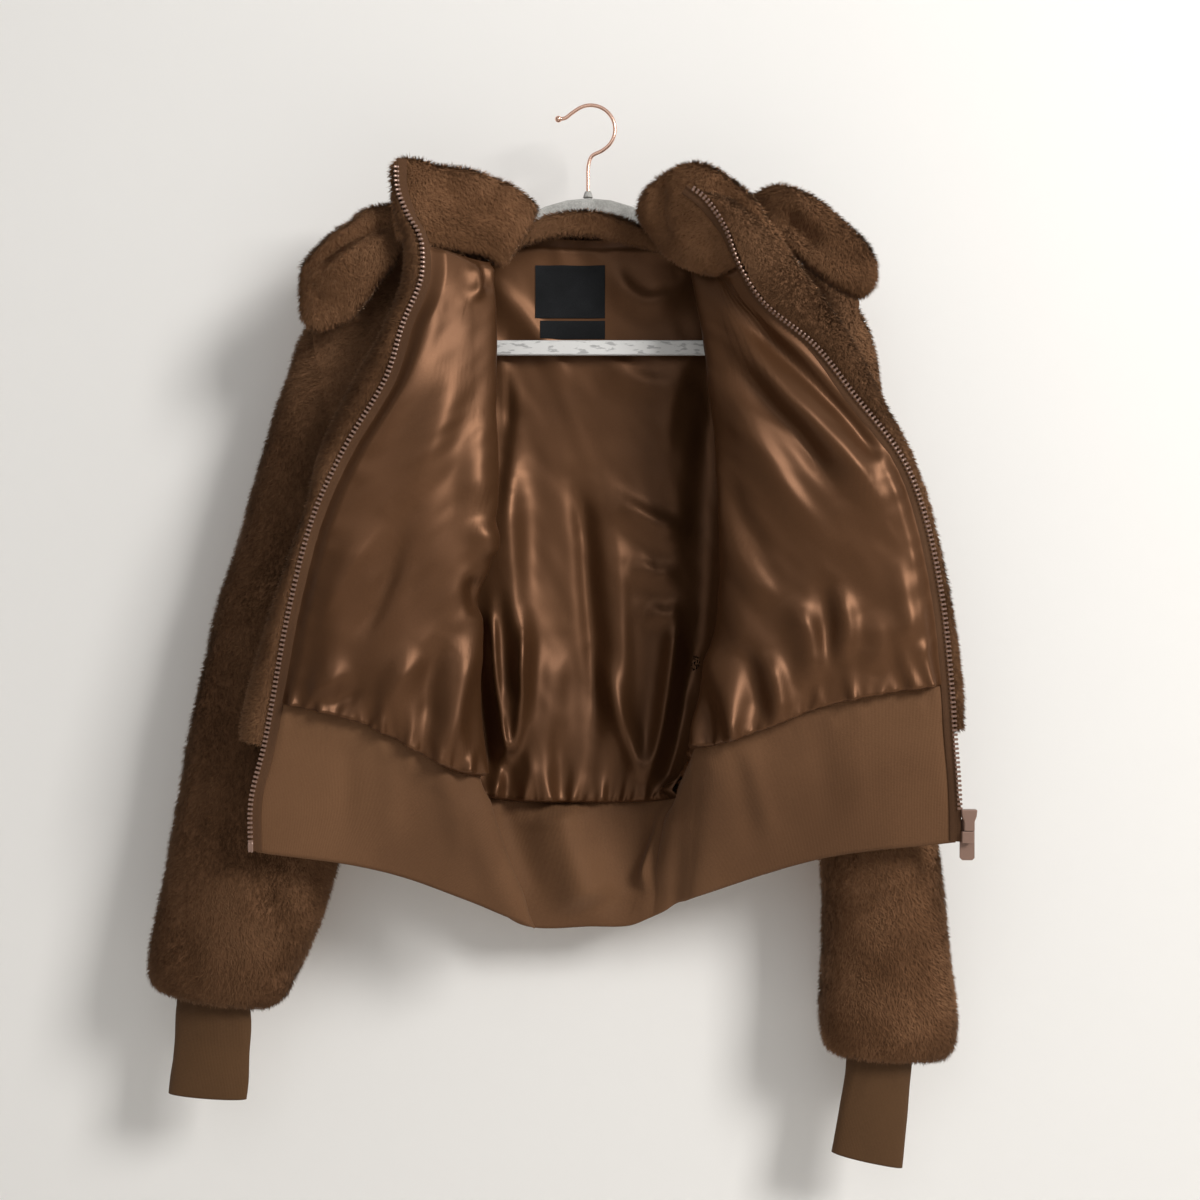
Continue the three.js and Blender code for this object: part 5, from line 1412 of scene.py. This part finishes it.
ROLL_FOLDS = {
    "collar_left": [
        (-2, 8, 9, [(-130, -70), (-110, -84), (-84, -92), (-60, -100)]),
        (1.5, 8, 10, [(-124, -100), (-100, -110), (-78, -112)]),
    ],
    "collar_back": [(-1.2, 5, 5, [(-40, -100), (0, -95), (44, -105)], 0.3)],
    "collar_right": [
        (-2.5, 7, 9, [(96, -72), (112, -92), (140, -124)]),
        (-8, 6, 5, [(56, -66), (58, -82), (58, -100), (66, -120)], 0.25),
        (2, 8, 9, [(70, -84), (90, -104), (112, -128)]),
    ],
    "collar_fall": [
        (-8, 5, 5, [(-146, -99), (-158, -107), (-170, -112), (-190, -124), (-206, -136)], 0.25),
        (5, 5, 16, [(-144, -106), (-158, -115), (-172, -124), (-188, -134), (-202, -145)], 0.3),
        (-5, 4, 4, [(-174, -135), (-177, -143)], 0.4),
        (-4, 5, 4, [(-203, -156), (-209, -160)], 0.4),
        (-9, 9, 8, [(150, -96), (158, -103), (170, -114), (182, -126)], 0.3),
        (3, 8, 9, [(160, -88), (178, -104), (198, -122)]),
    ],
}
ROLL_LOOK = {   # stations along it, blades of pile, its painted light, and its flat size
    "collar_left": (70, 34000, 1.8, (0.11, 0.062)), "collar_back": (70, 16000, 0.8, (0.11, 0.024)),
    "collar_right": (70, 38000, 1.4, (0.15, 0.062)), "collar_fall": (150, 78000, 0.6, (0.62, 0.042)),
}
ROLL_INSET = 3.2   # the shell lies this far inside the roll's own size, and the pile fills the rest
ROLL_AROUND = 49
SQUARENESS = 0.65
print("rolls:", ", ".join(ROLLS))

# %% Collar


def roll_points(rows, stations):
    """A padded roll: rounded sections from its low edge to its high edge, with rounded ends."""
    count = len(rows["thick"])
    at = (count - 1) * (1 - np.cos(np.linspace(0, np.pi, stations))) / 2
    low = through(np.stack([rows["lowX"], rows["lowY"], rows["lowZ"]], axis=-1)[None], at)[0]
    high = through(np.stack([rows["highX"], rows["highY"], rows["highZ"]], axis=-1)[None], at)[0]
    thick = np.interp(at, np.arange(count), rows["thick"])
    middle = (low + high) / 2
    along = unit(np.gradient(middle, axis=0))
    up = (high - low) / 2
    across = unit(np.cross(up, along))
    tall = np.maximum(np.linalg.norm(up, axis=-1) - ROLL_INSET, 3)
    deep = np.maximum(thick / 2 - ROLL_INSET, 1.6)
    distance = travelled_along(middle)
    from_end = np.minimum(distance, distance[-1] - distance)
    cap = np.clip(from_end / np.maximum(deep, 4), 0, 1)
    cap = np.sqrt(1 - (1 - cap)**2)
    tall, deep = tall * (0.78 + 0.22 * cap), deep * (0.04 + 0.96 * cap)
    angle = np.linspace(0, 2 * np.pi, ROLL_AROUND)
    c, s = (np.sign(f) * np.abs(f)**SQUARENESS for f in (np.cos(angle), np.sin(angle)))
    points = (middle[:, None] + unit(up)[:, None] * (tall[:, None] * c)[..., None]
              + across[:, None] * (deep[:, None] * s)[..., None])
    points[[0, -1]] = points[[0, -1]].mean(axis=1, keepdims=True)
    return points


for number, (name, rows) in enumerate(ROLLS.items()):
    stations, blades, nap, flat = ROLL_LOOK[name]
    points = roll_points(rows, stations)
    out = away_from_middle(points)
    height = folds(points, ROLL_FOLDS[name]) * smoothstep(-out[..., 1], 0, 0.5)
    height += 1.0 * drift(points[..., 0] + points[..., 1], points[..., 2], 22, 200 + number)
    points = points + out * height[..., None]
    fur_piece((f"{name}_fur", f"{name}_pile"), name, points, away_from_middle(points), blades,
              210 + 10 * number, {"flat": flat, "held": "folded"}, closed=True, nap=nap)

# %% [markdown]
# ## The zip
#
# A moulded zip: single teeth at an even pitch, each one clamped round the cord at its tape's edge.
# The jacket hangs undone, so both rows show. Each row stops at a pin or at the slider. A tooth is
# one small eight-sided bar that narrows at its tips, and a row of them is one joined mesh, set
# square to the zip's line wherever that turns. The hard pieces at the foot are the frame's own
# solids with their edges rounded over.

# %% Tapes


def evenly(side, low, high, pitch):
    """Levels between two levels at an even pitch along the zip, in millimetres."""
    fine = np.linspace(low, high, 2000)
    distance = travelled_along(line_at(ZIP_LINE, side, fine))
    return np.interp(np.arange(pitch / 2, distance[-1], pitch), distance, fine)


TAPE_SECTION = [(7.7, 0.3), (7.8, -0.5), (7.2, -0.9), (4.6, -1.0), (2.6, -0.9), (2.0, -1.5), (1.1, -1.7),
                (0.4, -1.4), (0.2, -0.8), (0.8, -0.2), (1.6, 0.3)]
TAPE_LEVELS = np.linspace(-0.97, 1.995, 260)
TAPE_FILM = 1.3   # a stiff film widens the tape's edge by this much at its foot
FILM_TOP, FILM_FULL = 1.68, 1.78
for side in SIDES:
    at, down, across, out = zip_frames(side, TAPE_LEVELS)
    section = np.array(TAPE_SECTION + TAPE_SECTION[:1])
    film = TAPE_FILM * smoothstep(TAPE_LEVELS, FILM_TOP, FILM_FULL)[:, None, None]
    film = film * (section[None, :, :1] < 2.5)   # only the edge with the cord on it
    points = (at[:, None] + across[:, None] * (section[None, :, :1] - film)
              + out[:, None] * section[None, :, 1:])
    grid_piece(f"tape_{side}", f"zip_tape_{side}", points, tape_cloth, "zip_tape", flip=SIDES[side] > 0,
               closed=True, flat=(0.60, 0.01), held="stretched", rests_on=[f"front_{side}_fur"])

# %% Teeth
TOOTH_PITCH = 3.5
TOOTH_LIFT = 1.6
PIN_TALL = 9
PIN_LEVEL = 1.965
FIRST_TOOTH = -0.9
LAST_TOOTH = {"left": 1.93, "right": 1.79}   # the pin and the slider come after them
TOOTH_RINGS = [(-2.35, 0.45), (-1.9, 0.9), (-0.4, 0.82), (0.6, 1.0), (1.5, 0.8)]   # across, size
TOOTH_SECTION = [(1.05, 0.45), (0.6, 1.1), (-0.6, 1.1), (-1.05, 0.45), (-1.05, -0.45), (-0.6, -1.0),
                 (0.6, -1.0), (1.05, -0.45)]


def bars(at, down, across, out, section):
    """One bar at each place: its section runs down and out, and its rings follow across."""
    section = np.array(section)
    corners = [at[:, None] + across[:, None] * reach + down[:, None] * section[None, :, :1] * size
               - out[:, None] * (TOOTH_LIFT + section[None, :, 1:] * size) for reach, size in TOOTH_RINGS]
    points = np.stack(corners, axis=1).reshape(len(at), -1, 3)
    sides, count = len(section), len(TOOTH_RINGS)
    faces = []
    for ring in range(count - 1):
        for k in range(sides):
            a, b = ring * sides + k, ring * sides + (k + 1) % sides
            faces.append((a, b, b + sides, a + sides))
    for start, order in ((0, 1), ((count - 1) * sides, -1)):
        loop = [start + k for k in range(sides)][::-order]
        faces += [(loop[0], loop[k], loop[k + 1], loop[k + 2]) for k in range(1, sides - 2, 2)]
    faces = (np.array(faces)[None] + np.arange(len(at))[:, None, None] * count * sides).reshape(-1, 4)
    return points.reshape(-1, 3), faces


for side in SIDES:
    levels = evenly(side, FIRST_TOOTH, LAST_TOOTH[side], TOOTH_PITCH)
    points, faces = bars(*zip_frames(side, levels), TOOTH_SECTION)
    if side == "left":
        pin = [(d * PIN_TALL / 2.1, depth * 0.9) for d, depth in TOOTH_SECTION]
        pin_points, pin_faces = bars(*zip_frames(side, np.array([PIN_LEVEL])), pin)
        faces = np.concatenate([faces, pin_faces + len(points)])
        points = np.concatenate([points, pin_points])
    if SIDES[side] < 0:
        faces = faces[:, ::-1]
    loops = np.zeros((len(faces), 4, 2))
    teeth = new_piece(f"teeth_{side}", points, faces, loops, zip_plastic, smooth=False)
    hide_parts(f"zip_chain_{side}")
    print(side, "teeth:", len(levels))

# %% Rounded copies of the frame's hard pieces


def rounded_copy(node, radius, material, body="jacket"):
    """The frame's own solid with its sharp edges rounded over."""
    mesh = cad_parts[node].data.copy()
    work = bmesh.new()
    work.from_mesh(mesh)
    bmesh.ops.remove_doubles(work, verts=work.verts, dist=1e-6)
    bmesh.ops.dissolve_limit(work, angle_limit=math.radians(1.5), verts=work.verts, edges=work.edges)
    sharp = [edge for edge in work.edges if edge.is_manifold and edge.calc_face_angle() > math.radians(25)]
    bmesh.ops.bevel(work, geom=sharp, offset=radius * MM, segments=3, profile=0.5, affect="EDGES",
                    clamp_overlap=True)
    bmesh.ops.triangulate(work, faces=work.faces)
    work.to_mesh(mesh)
    work.free()
    mesh.materials.clear()
    mesh.materials.append(material)
    mesh.polygons.foreach_set("use_smooth", [True] * len(mesh.polygons))
    piece = on_body(in_scene(f"{node}_rounded", mesh), body)
    piece.modifiers.new("even_shading", "WEIGHTED_NORMAL").keep_sharp = True
    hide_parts(node)
    return piece


for node, radius, body in (("zip_slider", 0.9, "jacket"), ("zip_box", 0.9, "jacket"),
                           ("zip_bridge", 0.4, "jacket"), ("zip_pull", 0.35, "zip_pull")):
    rounded_copy(node, radius, zip_plastic, body)

# %% [markdown]
# ## Labels
#
# Two woven labels are sewn to the back lining under the neck. They are flat and a little stiffer
# than the satin, so they follow its broad shape but not its small folds. Both are left bare.

# %% Labels
LABELS = {"label_main": ((-40, 16), (-125, -167)), "label_size": ((-36, 16), (-169, -183.5))}
IN_FRONT = -60      # rays start here, in front of the lining
LABEL_LIFT = 0.35   # above the lining, and again from the turned-in edges to the face
lining_tree = BVHTree.FromPolygons(lining_points.reshape(-1, 3).tolist(),
                                   grid_faces(*lining_points.shape[:2]).tolist())


def label_points(across, down, columns=29, rows=21):
    """The label's face, lying on the lining, with its head and foot turned in."""
    x, z = np.meshgrid(np.linspace(*across, columns), np.linspace(*down, rows))
    y = np.array([[lining_tree.ray_cast(Vector((a, IN_FRONT, b)), Vector((0, 1, 0)))[0].y
                   for a, b in zip(*line)] for line in zip(x, z)])
    smooth = y.copy()
    for _ in range(12):
        padded = np.pad(smooth, 1, mode="edge")
        smooth = (padded[:-2, 1:-1] + padded[2:, 1:-1] + padded[1:-1, :-2] + padded[1:-1, 2:]) / 4
    y = np.minimum(smooth, y) - LABEL_LIFT
    face = np.stack([x, y - LABEL_LIFT, z], axis=-1)
    back = np.stack([x, y, z], axis=-1)
    return np.concatenate([back[:1], face, back[-1:]])


for node, (across, down) in LABELS.items():
    size = (abs(across[1] - across[0]) * MM, abs(down[1] - down[0]) * MM)
    grid_piece(f"{node}_woven", node, label_points(across, down), label_cloth, "label", flip=True,
               flat=size, held="laid", rests_on=["back_lining"])

# %% [markdown]
# ## The hanger
#
# A slim moulded hanger with a flocked, velvety skin. The flock is worn off along the trouser bar,
# so the pale plastic shows there. A wire hook, plated in rose gold, ends in a small ball.

# %% Hanger
BAR_TOP = -184.5


def worn_finish(name, bare, flock):
    """Pale plastic with patches of flock left on it."""
    material, tree, bsdf = new_finish(name, Roughness=0.6)
    spots = add_node(tree, "ShaderNodeTexNoise", Scale=38, Detail=4)
    edge = add_node(tree, "ShaderNodeMapRange", Value=spots.outputs["Fac"], From_Min=0.54, From_Max=0.62)
    mix = add_node(tree, "ShaderNodeMix", {"data_type": "RGBA"}, Factor=edge.outputs["Result"],
                   A=(*bare, 1), B=(*flock, 1))
    feed(bsdf, Base_Color=mix.outputs["Result"])
    return material


hanger = rounded_copy("hanger_frame", 1.6, velvet)
hanger.data.materials.append(worn_finish("worn_bar", (0.72, 0.715, 0.70), (0.42, 0.415, 0.41)))
for face in hanger.data.polygons:
    face.material_index = int(face.center.z < BAR_TOP * MM)
rounded_copy("hook_socket", 0.6, velvet)

# %% Hook
WIRE_RADIUS = 1.5
BALL_RADIUS = 2.7
BEND_AT = (4.6, -17.5)
BEND_RADIUS = 19.3
STEM_X = 2.4
STEM_END = -67


def on_bend(degrees):
    angle = math.radians(degrees)
    return BEND_AT[0] + BEND_RADIUS * math.cos(angle), BEND_AT[1] + BEND_RADIUS * math.sin(angle)


route = [(-24, -9.5), (-16, -8.5), (-10.5, -4.5)]
route += [on_bend(degrees) for degrees in (112, 90, 65, 40, 15, -10, -35, -60)]
route += [(5.5, -39), (STEM_X + 0.4, -46), (STEM_X, -58), (STEM_X, STEM_END)]
knots = np.array([(x, 0, z) for x, z in route], float)[None]
line = through(knots, np.linspace(0, len(route) - 1, 1200))[0]
distance = travelled_along(line)
ball_steps = BALL_RADIUS * (1 - np.cos(np.linspace(0, np.pi * 0.8, 14)))
stops = np.concatenate([ball_steps, np.linspace(ball_steps[-1] + 0.8, distance[-1], 120)])
wire = np.stack([np.interp(stops, distance, line[:, axis]) for axis in range(3)], axis=-1)
side_way = np.cross(unit(np.gradient(wire, axis=0)), [0, 1, 0])
ball = np.sqrt(np.maximum(BALL_RADIUS**2 - (stops - BALL_RADIUS)**2, 0.0004))
radius = np.where(stops < BALL_RADIUS, ball, np.maximum(ball, WIRE_RADIUS))
angle = np.linspace(0, 2 * np.pi, 21)
wire_points = wire[:, None] + radius[:, None, None] * (
    side_way[:, None] * np.cos(angle)[None, :, None] + np.array([0, 1, 0]) * np.sin(angle)[None, :, None])
grid_piece("hook_wire", "hook", wire_points, rose_gold, "rose_gold", closed=True)
